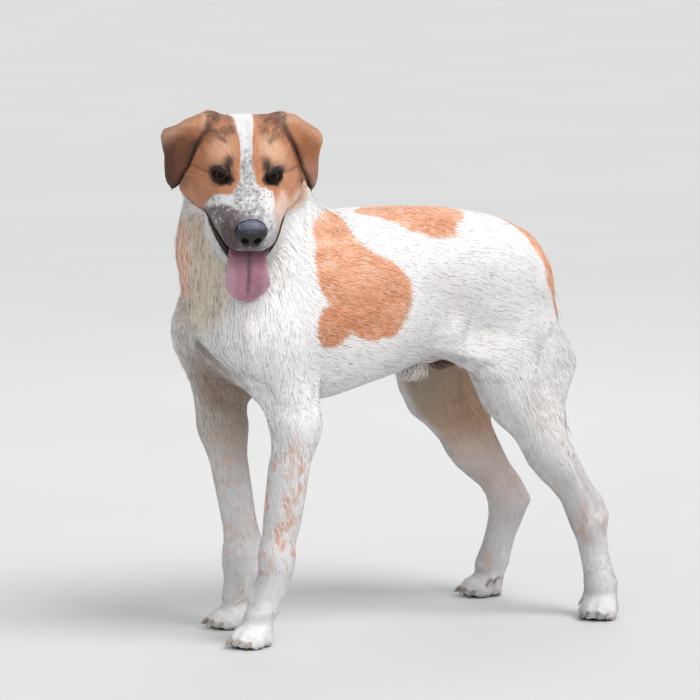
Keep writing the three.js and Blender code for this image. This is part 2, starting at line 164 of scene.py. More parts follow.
def eased(values, ends, rounds, amount=1.0, swell=0.53):
    """Smooths values over a mesh without shrinking it; amount may differ from vertex to vertex."""
    amount = np.broadcast_to(np.asarray(amount, float), (len(values),))[:, None]
    for _ in range(rounds):
        values = values + 0.5 * amount * (neighbour_mean(values, ends) - values)
        if swell:
            values = values - swell * amount * (neighbour_mean(values, ends) - values)
    return values


def as_object(name, mesh, *materials):
    obj = bpy.data.objects.new(name, mesh)
    scene.collection.objects.link(obj)
    for m in materials:
        mesh.materials.append(m)
    mesh.shade_smooth()
    return obj


def as_mesh(bm, name):
    mesh = bpy.data.meshes.new(name)
    bm.to_mesh(mesh)
    bm.free()
    return mesh


def made_real(obj):
    """A new mesh of what an object's modifiers or its curve make; the object itself goes."""
    scene.collection.objects.link(obj)
    made = bpy.data.meshes.new_from_object(obj.evaluated_get(bpy.context.evaluated_depsgraph_get()))
    bpy.data.objects.remove(obj)
    return made


def with_modifier(mesh, kind, **settings):
    """A new mesh: the given one after a single modifier."""
    obj = bpy.data.objects.new("work", mesh)
    modifier = obj.modifiers.new(kind, kind)
    for key, value in settings.items():
        setattr(modifier, key, value)
    return made_real(obj)


def joined_solids(names, swell=0.0):
    """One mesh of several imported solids, their doubled corners merged, let out by swell."""
    bm = bmesh.new()
    for name in names:
        bm.from_mesh(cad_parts[name].data)
    bmesh.ops.remove_doubles(bm, verts=bm.verts, dist=2e-6)
    bm.normal_update()
    if swell:
        for v in bm.verts:
            v.co += v.normal * swell
    return as_mesh(bm, "solids")


def colour_layer(mesh, name, rgb):
    layer = mesh.color_attributes.new(name, "FLOAT_COLOR", "POINT")
    rgba = np.column_stack([rgb, np.ones(len(rgb))])
    layer.data.foreach_set("color", rgba.astype(np.float32).ravel())


# ---- camera and light --------------------------------------------------------------------------
def round_the_dog(name, data, azimuth, height, distance=0.0, centre=Vector((0, 0, 0.4))):
    """Stands a camera or a light where it looks at the centre, by degrees round and up."""
    a, e = math.radians(azimuth), math.radians(height)
    way = Vector((math.sin(a) * math.cos(e), -math.cos(a) * math.cos(e), math.sin(e)))
    obj = bpy.data.objects.new(name, data)
    obj.location = centre + way * distance
    obj.rotation_mode = "QUATERNION"
    obj.rotation_quaternion = (-way).to_track_quat("-Z", "Y")
    scene.collection.objects.link(obj)
    return obj


def light(name, kind, azimuth, height, power, tone=(1, 1, 1), distance=0.0, **shape):
    """A soft light: a sun spread by its angle, or a square lamp of some size."""
    data = bpy.data.lights.new(name, kind)
    data.energy, data.color = power, tone
    for key, value in shape.items():
        setattr(data, key, value)
    round_the_dog(name, data, azimuth, height, distance)


VIEW_AZIMUTH, VIEW_HEIGHT, VIEW_DISTANCE = 58, 6.5, 6.0
VIEW_CENTRE = Vector(sum(eye_centres) / 2) + Vector((-0.0934, 0.2275, -0.2674))
FRAME_WIDTH = 70 / 69                                    # metres across at the dog
camera = bpy.data.cameras.new("camera")
camera.sensor_width = 36
camera.lens = camera.sensor_width * VIEW_DISTANCE / FRAME_WIDTH
camera.clip_end = 100
scene.camera = round_the_dog("camera", camera, VIEW_AZIMUTH, VIEW_HEIGHT, VIEW_DISTANCE,
                             VIEW_CENTRE)
scene.view_settings.view_transform = "Standard"

light("key", "SUN", 108, 54, 2.5, (1.0, 0.985, 0.965), angle=math.radians(35))
light("fill", "AREA", 20, 30, 5, (0.96, 0.98, 1.0), distance=3.8, size=2.8)
light("glint", "AREA", 44, 32, 3.2, distance=2.6, size=0.22)
light("rim", "AREA", 230, 45, 20, distance=3.6, size=2.2)
world = bpy.data.worlds.new("studio")
scene.world = world
world.use_nodes = True
backdrop = world.node_tree.nodes["Background"]
backdrop.inputs["Color"].default_value = (0.86, 0.88, 0.9, 1)
backdrop.inputs["Strength"].default_value = 0.74


# ---- materials ---------------------------------------------------------------------------------
def material(name, **sockets):
    """A new material with values on its shader's sockets, and the parts that build on it."""
    m = bpy.data.materials.new(name)
    m.use_nodes = True
    shader = m.node_tree.nodes["Principled BSDF"]
    for key, value in sockets.items():
        shader.inputs[key.replace("_", " ")].default_value = value
    return m, m.node_tree.nodes, m.node_tree.links, shader


def node(nodes, kind, **settings):
    """A new node with values on its sockets and on its own settings."""
    n = nodes.new(kind)
    for key, value in settings.items():
        if key in n.inputs:
            n.inputs[key].default_value = value
        else:
            setattr(n, key, value)
    return n


def grain_group():
    """Fine grain on Object coordinates: a height for bump and a shade to multiply by."""
    group = bpy.data.node_groups.new("fine_grain", "ShaderNodeTree")
    face = group.interface
    face.new_socket("Scale", in_out="INPUT", socket_type="NodeSocketFloat")
    face.new_socket("Spread", in_out="INPUT", socket_type="NodeSocketFloat")
    face.new_socket("Height", in_out="OUTPUT", socket_type="NodeSocketFloat")
    face.new_socket("Shade", in_out="OUTPUT", socket_type="NodeSocketFloat")
    nodes, links = group.nodes, group.links
    given, out = nodes.new("NodeGroupInput"), nodes.new("NodeGroupOutput")
    where = nodes.new("ShaderNodeTexCoord")
    fine = node(nodes, "ShaderNodeTexNoise", Detail=3.0, Roughness=0.6)
    links.new(where.outputs["Object"], fine.inputs["Vector"])
    links.new(given.outputs["Scale"], fine.inputs["Scale"])
    shade = node(nodes, "ShaderNodeMapRange")
    shade.inputs["From Min"].default_value, shade.inputs["From Max"].default_value = 0.25, 0.75
    low = node(nodes, "ShaderNodeMath", operation="SUBTRACT")
    low.inputs[0].default_value = 1.0
    high = node(nodes, "ShaderNodeMath", operation="ADD")
    high.inputs[0].default_value = 1.0
    links.new(given.outputs["Spread"], low.inputs[1])
    links.new(given.outputs["Spread"], high.inputs[1])
    links.new(fine.outputs["Fac"], shade.inputs["Value"])
    links.new(low.outputs[0], shade.inputs["To Min"])
    links.new(high.outputs[0], shade.inputs["To Max"])
    links.new(fine.outputs["Fac"], out.inputs["Height"])
    links.new(shade.outputs["Result"], out.inputs["Shade"])
    return group


fine_grain = grain_group()


def grained(nodes, links, shader, colour, scale, spread, bump, distance):
    """Lays grain over a colour and sends both into a shader."""
    grain = node(nodes, "ShaderNodeGroup", node_tree=fine_grain)
    grain.inputs["Scale"].default_value, grain.inputs["Spread"].default_value = scale, spread
    shaded = node(nodes, "ShaderNodeVectorMath", operation="SCALE")
    links.new(colour, shaded.inputs[0])
    links.new(grain.outputs["Shade"], shaded.inputs["Scale"])
    links.new(shaded.outputs[0], shader.inputs["Base Color"])
    raised = node(nodes, "ShaderNodeBump", Strength=bump, Distance=distance)
    links.new(grain.outputs["Height"], raised.inputs["Height"])
    links.new(raised.outputs["Normal"], shader.inputs["Normal"])
    return grain


def tinted(name, scale, spread, bump, distance, **sockets):
    """A material whose colour is the mesh's own tint, with grain."""
    m, nodes, links, shader = material(name, **sockets)
    tint = node(nodes, "ShaderNodeAttribute", attribute_name="tint")
    grained(nodes, links, shader, tint.outputs["Color"], scale, spread, bump, distance)
    return m


HAIR = tinted("hair", 700, 0.10, 0.15, 0.0006, Roughness=0.62, Specular_IOR_Level=0.3,
              Sheen_Weight=0.12, Sheen_Roughness=0.4)
SKIN = tinted("skin", 900, 0.16, 0.5, 0.0012, Roughness=0.7, Specular_IOR_Level=0.25)
LIP = tinted("lip", 1500, 0.12, 0.4, 0.0005, Roughness=0.5, Specular_IOR_Level=0.3,
             Coat_Weight=0.12, Coat_Roughness=0.3)
LID = tinted("lid", 1500, 0.12, 0.3, 0.0004, Roughness=0.6, Specular_IOR_Level=0.2)
HORN = tinted("horn", 1200, 0.12, 0.2, 0.0003, Roughness=0.38, Coat_Weight=0.2, Coat_Roughness=0.3)


def floor_material():
    m, nodes, links, shader = material("floor", Roughness=0.75)
    where = nodes.new("ShaderNodeTexCoord")
    cloud = node(nodes, "ShaderNodeTexNoise", Scale=1.2, Detail=2.0)
    pale = node(nodes, "ShaderNodeMix", data_type="RGBA")
    pale.inputs["A"].default_value = (0.54, 0.545, 0.54, 1)
    pale.inputs["B"].default_value = (0.59, 0.59, 0.585, 1)
    links.new(where.outputs["Object"], cloud.inputs["Vector"])
    links.new(cloud.outputs["Fac"], pale.inputs["Factor"])
    links.new(pale.outputs["Result"], shader.inputs["Base Color"])
    return m


def studio_floor():
    """A wide plain floor that fades into the backdrop."""
    bm = bmesh.new()
    bmesh.ops.create_circle(bm, cap_ends=True, segments=96, radius=45)
    return as_object("floor", as_mesh(bm, "floor"), floor_material())


studio_floor()

# ---- the form under the coat -------------------------------------------------------------------
NOT_FLESH = ("eye", "nose", "tongue", "claw", "dewclaw")
FLESH = sorted(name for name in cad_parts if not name.startswith(NOT_FLESH))
REGIONS = ("head", "ear", "lower_jaw", "neck", "trunk", "foreleg", "hindleg", "paw", "tail")
SKIN_VOXEL = 0.0025
FUSE = 0.0005                                            # closes the gaps between the solids
SKIN_FACES = 184000
FLAT_MAP_FACES = 7000
TUFTS = 240000

form = with_modifier(joined_solids(FLESH, FUSE), "REMESH", mode="VOXEL", voxel_size=SKIN_VOXEL)
form_edges = edge_ends(form)
co = places(form)


def region_weights(co, ends, rounds):
    """How far each point belongs to each region, fading over the borders."""
    corners, faces, owner = [], [], []
    for name in FLESH:
        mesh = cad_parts[name].data
        start = len(corners)
        corners += [v.co for v in mesh.vertices]
        tag = next(k for k, r in enumerate(REGIONS) if name.startswith(r))
        for t in mesh.polygons:
            faces.append([start + k for k in t.vertices])
            owner.append(tag)
    tree = BVHTree.FromPolygons(corners, faces)
    tags = np.array([owner[tree.find_nearest(Vector(c))[2]] for c in co])
    one = (tags[:, None] == np.arange(len(REGIONS))).astype(float)
    return eased(one, ends, rounds, swell=0)


weights = region_weights(co, form_edges, 30)


def shares(weights):
    """Each region's share at every point, by the region's name."""
    return dict(zip(REGIONS, weights.T))


def eased_form(co, w):
    """Takes cuts, steps and facets out of the joined solids, gently on head and feet."""
    face = w["head"] + w["ear"] + w["lower_jaw"]
    fine = np.clip(face + w["paw"], 0, 1)
    co = eased(co, form_edges, 10, 1 - 0.45 * fine)
    co = eased(co, form_edges, 16, 1 - fine)
    high = rise(0.17, 0.30, co[:, 2])
    co = eased(co, form_edges, 34, (1 - fine) * high * (1 - 0.7 * w["tail"]), swell=0.34)
    joins = rise(0.03, 0.3, 1 - weights.max(1)) * (1 - np.clip(face, 0, 1))
    co = eased(co, form_edges, 60, joins * high, swell=0.16)
    co = eased(co, form_edges, 40, joins * (1 - high), swell=0.2)
    # the step over the elbows, then the shelf that is left over the left one
    x, y, z = co.T / MM
    step = (w["trunk"] + w["foreleg"]) * rise(44, 12, np.abs(z - 336)) * rise(-100, -140, y)
    co = eased(co, form_edges, 70, 0.9 * step, swell=0.12)
    x, y, z = co.T / MM
    shelf = (w["trunk"] + w["foreleg"]) * rise(80, 45, np.abs(z - 336))
    shelf *= rise(-150, -185, y) * rise(62, 84, x)
    return eased(co, form_edges, 150, 0.9 * shelf, swell=0.1)


w = shares(weights)
co = eased_form(co, w)
place(form, co)

# ---- lines and places on the head and body -----------------------------------------------------
# The mouth, as a line down each side from its corner to the tongue.
MOUTH = {
    -1: [(-57, 27, -47), (-51, 45, -54), (-46, 60, -60), (-39, 70, -68), (-31, 78, -77),
         (-20, 86, -85)],
    1: [(57, 25, -43), (51, 45, -48), (46, 62, -54), (40, 74, -62), (32, 82, -71), (22, 88, -80)],
}
FURROW = [(0, -88, 50), (0, -40, 56), (0, -6, 44), (0, 22, 19)]
# Lines of the head's left side, which are mirrored onto its right.
UPPER_FOLD = [(58, -62, 58), (40, -46, 60), (20, -22, 55)]
LOWER_FOLD = [(58, -48, 48), (44, -30, 48), (30, -14, 42)]
EYE_CORNER = [(49, 2, 4), (58, -8, 2)]
UNDER_EYE = [(24, 30, -4), (34, 24, -12), (47, 12, -13)]
EAR_EDGE = [(43, -68, 60), (48, -52, 57), (55, -39, 48), (64, -33, 34), (71, -30, 20),
            (79, -26, -3), (86, -24, -14), (92, -25, -32)]
# Lines of the body.
BRISKET_CLEFT = [(-30, -292, 436), (-10, -284, 416), (9, -270, 396), (38, -270, 393),
                 (68, -270, 392), (85, -246, 374), (90, -232, 352)]
LEFT_TENDON = [(124, 240, 262), (124, 253, 238), (123, 266, 216), (123, 280, 195),
               (126, 289, 177), (128, 294, 160)]
RIGHT_TENDON = [(-92, 262, 232), (-92, 275, 210), (-90, 286, 190), (-88, 293, 172)]
LEFT_FORELEG = np.array([67, -218, 0])
ASIDE = np.array([0.53, 0.848, 0])                       # to the rear and outwards


def mirrored(points, k):
    """A line of the head's left side, or of its right side where k is -1."""
    return [(k * s, f, u) for s, f, u in points]


def past_ear_edge(out, u):
    """How far out past the ear's front edge each point lies."""
    return out - np.interp(-u, [-60, -48, -34, -20, 3, 32], [43, 55, 64, 71, 79, 92])


def beside_foreleg(p):
    """How far aside of the left foreleg each place lies, and where its front edge runs there."""
    edge = np.interp(p[:, 2], [69, 98, 148, 183, 260], [-14, -7, 6, 14, 27])
    return (p - LEFT_FORELEG) @ ASIDE, edge


def under_belly(p, w, y_at, half, edge=(1.15, 0.85), top=402):
    """1 on a round place of the belly's underside, half as wide and as long as half says."""
    x, y, z = p.T / MM
    out = np.hypot((x - MIDDLE) / half[0], (y - y_at) / half[1])
    return rise(*edge, out) * rise(top, top - 8, z) * w["trunk"]


EYE_OPEN = (10.6, 5.7)                                   # half-sizes of the open lids
EYE_SLANT = 0.18                                         # rise of the opening to its outer corner
LID_RADIUS = EYE_RADIUS + 1.6


def line_through(points, count):
    """Evenly counted places on a smooth line through the points."""
    points = np.asarray(points, float)
    t = np.linspace(0, len(points) - 1, count)
    k = np.minimum(t.astype(int), len(points) - 2)
    f = (t - k)[:, None]
    padded = np.vstack([2 * points[0] - points[1], points, 2 * points[-1] - points[-2]])
    a, b, c, d = (padded[k + j] for j in range(4))
    return 0.5 * (2 * b + (c - a) * f + (2 * a - 5 * b + 4 * c - d) * f * f
                  + (3 * b - a - 3 * c + d) * f ** 3)


def distance_to_line(h, points, count):
    """Distance of each place from a smooth line through the points, in blocks to save room."""
    line = line_through(points, count)
    out = np.empty(len(h))
    block = 20000
    for start in range(0, len(h), block):
        apart = h[start:start + block, None, :] - line[None]
        out[start:start + block] = np.sqrt((apart ** 2).sum(-1).min(1))
    return out


def eye_frame(s):
    """The eye's place in the head and its own axes: outward, up and along the gaze."""
    gaze = unit(np.array([s * 0.36, 0.84, 0.40]))
    up = np.array([0, 0, 1.0])
    up = unit(up - gaze * up.dot(gaze))
    at = np.array([s * EYE_OUT, EYE_FORWARD, EYE_UP])
    return at, np.array([np.cross(gaze, up) * s, up, gaze])


def eye_round(h, s):
    """Place in an eye's frame, and how far it lies beyond the edge of the open lids."""
    at, axes = eye_frame(s)
    q = (h - at) @ axes.T
    share = np.hypot(q[:, 0] / EYE_OPEN[0], (q[:, 1] - EYE_SLANT * q[:, 0]) / EYE_OPEN[1])
    return q, np.hypot(q[:, 0], q[:, 1]) * (1 - 1 / np.maximum(share, 0.2)) + 99 * (q[:, 2] < -8)


def over_eyeball(out, up):
    """How far forward of an eye's centre the inside of its lids lies."""
    return np.sqrt(np.maximum(LID_RADIUS ** 2 - out ** 2 - up ** 2, 9))


# The coat by place: its depth over the skin, the length of its hair and the width of a lock.
COAT = {
    "face": (1.3, 8.5, 0.8), "nose_end": (0.9, 4.6, 0.6), "ear": (0.9, 8.5, 0.8),
    "neck": (2.6, 26, 1.45), "trunk": (1.7, 20, 1.4), "leg": (1.1, 11, 1.1),
    "paw": (0.9, 6, 0.8), "tail": (5.0, 28, 1.6), "ruff": (3.0, 20, 1.1), "full": (3.8, 30, 1.5),
}


def fields(p, h, w):
    """Depth of the coat, length and width of its hair, all in millimetres, and how bare it is."""
    f, u = h[:, 1], h[:, 2]
    _, y, z = p.T / MM
    head = w["head"] + w["lower_jaw"]
    muzzle = head * rise(18, 48, f)
    neck_ruff = head * rise(0, -45, f) * rise(10, -25, u)
    chest = (w["trunk"] + w["neck"] + w["foreleg"] * rise(250, 334, z)) * rise(-170, -250, y)
    underneath = w["trunk"] * rise(450, 400, z)
    elbow = w["foreleg"] * rise(215, 334, z)
    thigh = w["hindleg"] * rise(190, 320, z)
    breech = (w["hindleg"] + w["trunk"]) * rise(255, 300, y) * rise(240, 320, z) * rise(560, 500, z)

    def build(face, nose_end, ear, neck, trunk, leg, paw, tail, ruff, full):
        value = (head * face + w["ear"] * ear + w["neck"] * neck + w["trunk"] * trunk
                 + (w["foreleg"] + w["hindleg"]) * leg + w["paw"] * paw + w["tail"] * tail)
        value += muzzle * (nose_end - face) + neck_ruff * (ruff - face)
        value += (thigh + elbow) * (trunk - leg)
        return value + np.maximum.reduce([chest, underneath * 0.5, breech]) * (full - value) * 0.7

    depth, hair, wide = (build(**{part: size[k] for part, size in COAT.items()}) for k in range(3))
    bare = np.zeros(len(h))
    near_head = head > 0.05
    hh = h[near_head]
    for side in (-1, 1):
        lip = rise(6.2, 4.2, distance_to_line(hh, MOUTH[side], 40))
        _, out = eye_round(hh, side)
        bare[near_head] = np.maximum(bare[near_head], np.maximum(lip, rise(3.2, 2.0, out)))
        short = rise(15, 3, out)
        hair[near_head] *= 1 - 0.62 * short
        depth[near_head] *= 1 - 0.5 * short
    sole = rise(5, 2.5, z)
    return depth * (1 - sole), hair, wide, np.maximum(bare, sole)


def crease(p, points, count, deep, wide, toward):
    """Sinks a groove into places, along a line through the points, all in millimetres."""
    d = distance_to_line(p, points, count)
    return p + np.asarray(toward, float) * (deep * np.exp(-(d / wide) ** 2))[:, None]


def trimmed_body(p, w):
    """The brisket's cleft, the grooves before the hocks' tendons and a lean left wrist."""
    p = crease(p, BRISKET_CLEFT, 50, 3.2, 6, (0, 0.85, 0.5))
    p = crease(p, LEFT_TENDON, 40, 3.4, 5, (-1, 0.1, 0))
    p = crease(p, RIGHT_TENDON, 40, 3.0, 5, (-1, 0.1, 0))
    z = p[:, 2]
    past, edge = beside_foreleg(p)
    leg = (w["foreleg"] + w["paw"]) * (p[:, 0] > 20)
    behind = 8 * rise(170, 136, z) * rise(72, 100, z) * np.clip(past / 27, 0, 1)
    before = np.clip((edge - past) / 22, 0, 1)
    before = before * (6.5 * rise(134, 106, z) * rise(34, 62, z)
                       - 4.5 * rise(142, 172, z) * rise(300, 250, z))
    return p + ASIDE * (leg * (before - behind))[:, None]


co = trimmed_body(co / MM, w) * MM
wrist = w["foreleg"] * rise(84, 104, co[:, 2] / MM) * rise(196, 170, co[:, 2] / MM)
wrist = wrist * (co[:, 0] > 0.02)
co = eased(co, form_edges, 60, 0.8 * wrist, swell=0.12)
place(form, co)
h = in_head(co)
depth, *_ = fields(co, h, w)
co = co - normals(form) * (eased(depth[:, None], form_edges, 30, swell=0) * MM)
co[:, 2] = np.maximum(co[:, 2], ON_FLOOR)


def carve_eye(g, k):
    """Lays the lids over the eyeball and sinks the socket round them."""
    at, axes = eye_frame(k)
    q, out = eye_round(g, k)
    lid = over_eyeball(q[:, 0], q[:, 1]) - 7.5 * rise(1.2, -2.5, out)
    sunk = q[:, 2] - 2.0 * rise(16, 6, out)
    blend = rise(3, 9.5, out)
    q[:, 2] = np.where(out < 16, lid * (1 - blend) + sunk * blend, q[:, 2])
    return at + q @ axes


def carve_face(g, upper):
    """Slimmer lips, folds of the forehead, eyes and mouth; upper where the head is over the jaw."""
    s, f, u = g.T
    slim = rise(-26, -44, u) * rise(22, 50, f) * upper
    g[:, 0] -= np.sign(s) * 3.6 * slim * rise(8, 22, np.abs(s))
    g = crease(g, FURROW, 40, 1.8, 6, (0, -0.35, -0.9))
    for k in (-1, 1):
        g = crease(g, mirrored(UPPER_FOLD, k), 30, 1.9, 3.4, (0, -0.3, -0.95))
        g = crease(g, mirrored(LOWER_FOLD, k), 30, 1.3, 3.0, (0, -0.5, -0.85))
        g = crease(g, mirrored(EYE_CORNER + [(68, -22, 1)], k), 24, 1.6, 3.0, (-k * 0.8, -0.5, 0))
        g = crease(g, mirrored(UNDER_EYE, k), 24, 1.5, 4.0, (-k * 0.5, -0.7, 0.3))
        g = carve_eye(g, k)
        d = distance_to_line(g, MOUTH[k], 60)
        g[:, 0] -= k * 8.5 * np.clip(1 - (d / 6.0) ** 2, 0, 1)
    return g


def carve_head(h, w):
    """Carves the face, the ears' front edges and the folds over the ears."""
    near = (w["head"] + w["lower_jaw"]) > 0.3
    h = h.copy()
    h[near] = carve_face(h[near], w["head"][near] > w["lower_jaw"][near])
    s, _, u = h.T                                        # these follow h as it is carved
    near = (np.abs(s) > 40) & (w["head"] + w["ear"] > 0.5)
    for k in (-1, 1):
        g = h[near]
        d = distance_to_line(g, mirrored(EAR_EDGE, k), 50)
        beyond = past_ear_edge(np.abs(g[:, 0]), g[:, 2]) > 0
        g -= np.array([k * 0.55, 0.8, 0]) * (3.4 * np.exp(-(d / 2.6) ** 2))[:, None]
        g += np.array([k * 0.2, 0.95, 0]) * (1.3 * np.exp(-((d - 6) / 3.5) ** 2) * beyond)[:, None]
        h[near] = g
    h[:, 2] += 3.4 * np.exp(-((np.abs(s) - 47) / 8) ** 2) * rise(38, 56, u)
    h[:, 2] -= 3.5 * rise(64, 84, s) * rise(22, 44, u)
    return h


co = from_head(carve_head(in_head(co), w))
place(form, co)
co = eased(co, form_edges, 2, 0.6)
co[:, 2] = np.maximum(co[:, 2], ON_FLOOR)
place(form, co)

# ---- colours -----------------------------------------------------------------------------------
WHITE = np.array([0.79, 0.78, 0.78])
CREAM = np.array([0.76, 0.67, 0.56])
ORANGE = np.array([0.485, 0.198, 0.098])
TAN = np.array([0.66, 0.385, 0.255])
SAND = np.array([0.74, 0.365, 0.225])
SADDLE = np.array([0.62, 0.275, 0.155])
RUST = np.array([0.40, 0.155, 0.07])
BROWN = np.array([0.125, 0.062, 0.042])
DARK = np.array([0.022, 0.018, 0.017])
GREY = np.array([0.30, 0.285, 0.29])
ROAN = np.array([0.122, 0.090, 0.088])
SOOT = np.array([0.045, 0.038, 0.040])
UMBER = np.array([0.100, 0.034, 0.017])
PEACH = np.array([0.84, 0.56, 0.43])                     # low on the left cheek
BLUSH = np.array([0.80, 0.60, 0.50])                     # over the left lip
CHESTNUT = np.array([0.40, 0.215, 0.16])                 # the left ear's flap
PAINTED_SHADE_GREY = np.array([0.47, 0.445, 0.45])                      # painted shade: the white greyed on flank and legs
BREAST_SHADE_BROWN = np.array([0.205, 0.125, 0.075])                   # painted shade between the forelegs
THIGH_SHADE = np.array([0.31, 0.225, 0.15])              # painted shade inside the thigh, in front
THIGH_WARM_SHADE = np.array([0.47, 0.27, 0.15])                # painted shade behind it, warmer with the thigh's tan
PALE_STRIPE = np.array([0.95, 0.70, 0.58])
PALE_STREAK = np.array([0.95, 0.66, 0.50])
# pinkish white of the sheath's tuft, brighter than the coat's white as painted light in the belly's
# shade
TUFT_WHITE_LIT = np.array([0.95, 0.86, 0.82])
# the mouth's red, darkened as painted shade inside the open mouth
MOUTH_SHADED_RED = np.array([0.075, 0.02, 0.022])
NOSE_BLACK = np.array([0.010, 0.0095, 0.011])
# painted sheen on the top of the nose, and painted shade in the nostrils
NOSE_PAINTED_SHEEN = np.array([0.100, 0.107, 0.170])
NOSTRIL_SHADE = np.array([0.006, 0.004, 0.004])
TONGUE_PINK = np.array([0.42, 0.175, 0.25])
TONGUE_EDGE = np.array([0.60, 0.36, 0.44])
# painted shade on the tongue: under the lip, in its groove and back in the mouth
TONGUE_SHADE = np.array([0.20, 0.07, 0.10])
TONGUE_GROOVE_SHADE = np.array([0.17, 0.055, 0.08])
TONGUE_ROOT_SHADE = np.array([0.16, 0.04, 0.055])
HORN_BROWN = np.array([0.34, 0.27, 0.215])
HORN_PALE = np.array([0.62, 0.52, 0.45])
OUTSIDE = -9                                             # well outside a patch


def over(base, colour, share):
    """Lays a colour over another by a share for each point."""
    share = np.clip(share, 0, 1)[:, None]
    return base * (1 - share) + colour * share


def painted(tint, *layers):
    """Lays colours over a tint one after another, each by its share for each point."""
    for colour, share in layers:
        tint = over(tint, colour, share)
    return tint


def all_over(colour, points):
    return np.tile(colour, (len(points), 1))


# ---- markings, shared by the skin and the coat -------------------------------------------------
def blots(a, b, shapes):
    """How far inside the nearest of several round blots each point lies, in millimetres about."""
    return np.maximum.reduce([
        (1 - np.hypot((a - ca) / ra, (b - cb) / rb)) * min(ra, rb) for ca, cb, ra, rb in shapes])


def body_orange(p):
    """Share of orange on trunk, neck and tail."""
    drift = np.column_stack([ripple(p, 0.034, k) + 0.6 * ripple(p, 0.012, k + 3)
                             for k in (1, 2, 3)])
    x, y, z = (p / MM + drift * 4.5).T
    saddle = blots(y, z, [(-74, 495, 61, 58), (-128, 545, 40, 68), (-144, 458, 30, 34),
                          (-132, 592, 34, 34), (-72, 462, 46, 30), (-98, 538, 34, 34)])
    saddle = np.where(x > np.where(z > 585, -14, 12), saddle, OUTSIDE)
    near_side = np.interp(y, [-70, -55, -33, 0, 28, 64, 84, 106, 124, 136],
                          [-20, 22, 38, 54, 64, 66, 56, 36, 12, -20])
    far_side = np.interp(y, [-62, -20, 50, 110, 135], [10, -34, -58, -40, 10])
    loin = np.where(z > 530, np.minimum(near_side - x, x - far_side), OUTSIDE)
    rump = 114 - np.sqrt((x - MIDDLE) ** 2 + (y - 262) ** 2 + (z - 530) ** 2)
    stripe = blots(x, z, [(-70, 565, 52, 52), (-66, 522, 42, 34), (-92, 600, 60, 50)])
    stripe = np.minimum(np.where(x < 30, stripe, OUTSIDE),
                        blots(y, z, [(-246, 562, 88, 66), (-214, 596, 52, 44)]))
    flank = np.where(x < -20, blots(y, z, [(-30, 500, 66, 52), (24, 470, 44, 34)]), OUTSIDE)
    return rise(-2.5, 2.5, np.maximum.reduce([saddle, loin, rump, stripe, flank]))


def orange_head(p, h, speck):
    """The head's orange, lighter on brow and cheek, brown and grizzled at the skull's sides."""
    s, f, u = h.T
    out = np.abs(s)
    grizzle = rise(-4, -34, f) * rise(22, 46, u) * rise(10, 22, out) * rise(70, 52, out)
    grizzle = np.maximum(grizzle, 0.9 * rise(-30, -52, f) * rise(48, 58, out) * rise(-14, 16, u))
    return painted(
        all_over(ORANGE, p),
        (TAN, 0.4 * rise(-0.2, 0.9, ripple(p, 0.03, 14)) + 0.15 * speck),
        (TAN, 0.8 * rise(26, 8, np.hypot(out - 34, (f + 6) * 0.9)) * rise(8, 22, u)),
        (BROWN, grizzle * (0.5 + 0.5 * speck + 0.4 * ripple(p, 0.006, 17))),
        (RUST, 0.5 * rise(-24, -40, s) * rise(2, -14, u) * rise(-60, -30, f)),
        (PEACH, 0.75 * rise(26, 40, s) * rise(-22, -36, u)))


def dark_marks(tint, h, speck):
    """Folds of the forehead, rings and corners of the eyes, inner brows and tear marks."""
    s, f, u = h.T
    for k in (-1, 1):
        for line, strong, wide in ((UPPER_FOLD, 0.85, 4.0), (LOWER_FOLD, 0.6, 3.2),
                                   (EYE_CORNER + [(70, -24, 1)], 0.5, 2.2)):
            d = distance_to_line(h, mirrored(line, k), 24)
            tint = over(tint, BROWN, strong * rise(wide * 1.7, wide * 0.4, d + 0.8 * speck))
        _, ring = eye_round(h, k)
        brow = 16 if k > 0 else 19
        inner = np.sqrt(((s - k * (26 - 0.16 * (u - brow))) * 1.6) ** 2 + ((f - 15) * 0.7) ** 2
                        + ((u - brow) * 0.62) ** 2)
        tear = np.sqrt(((s - k * 23.5) * 1.2) ** 2 + ((f - 28) * 0.8) ** 2 + ((u - 5) * 0.62) ** 2)
        tint = painted(
            tint,
            (BROWN, 0.85 * rise(11, 6, ring + 2.0 * speck)),
            (DARK, rise(8.5, 4.5, ring + 1.4 * speck)),
            (BROWN, 0.75 * rise(17, 6, inner + 2.6 * speck)),
            (DARK, 0.85 * rise(11.5, 3, inner + 3.0 * speck)),
            (DARK, 0.9 * rise(10, 5, tear + 2.0 * speck)))
    return tint


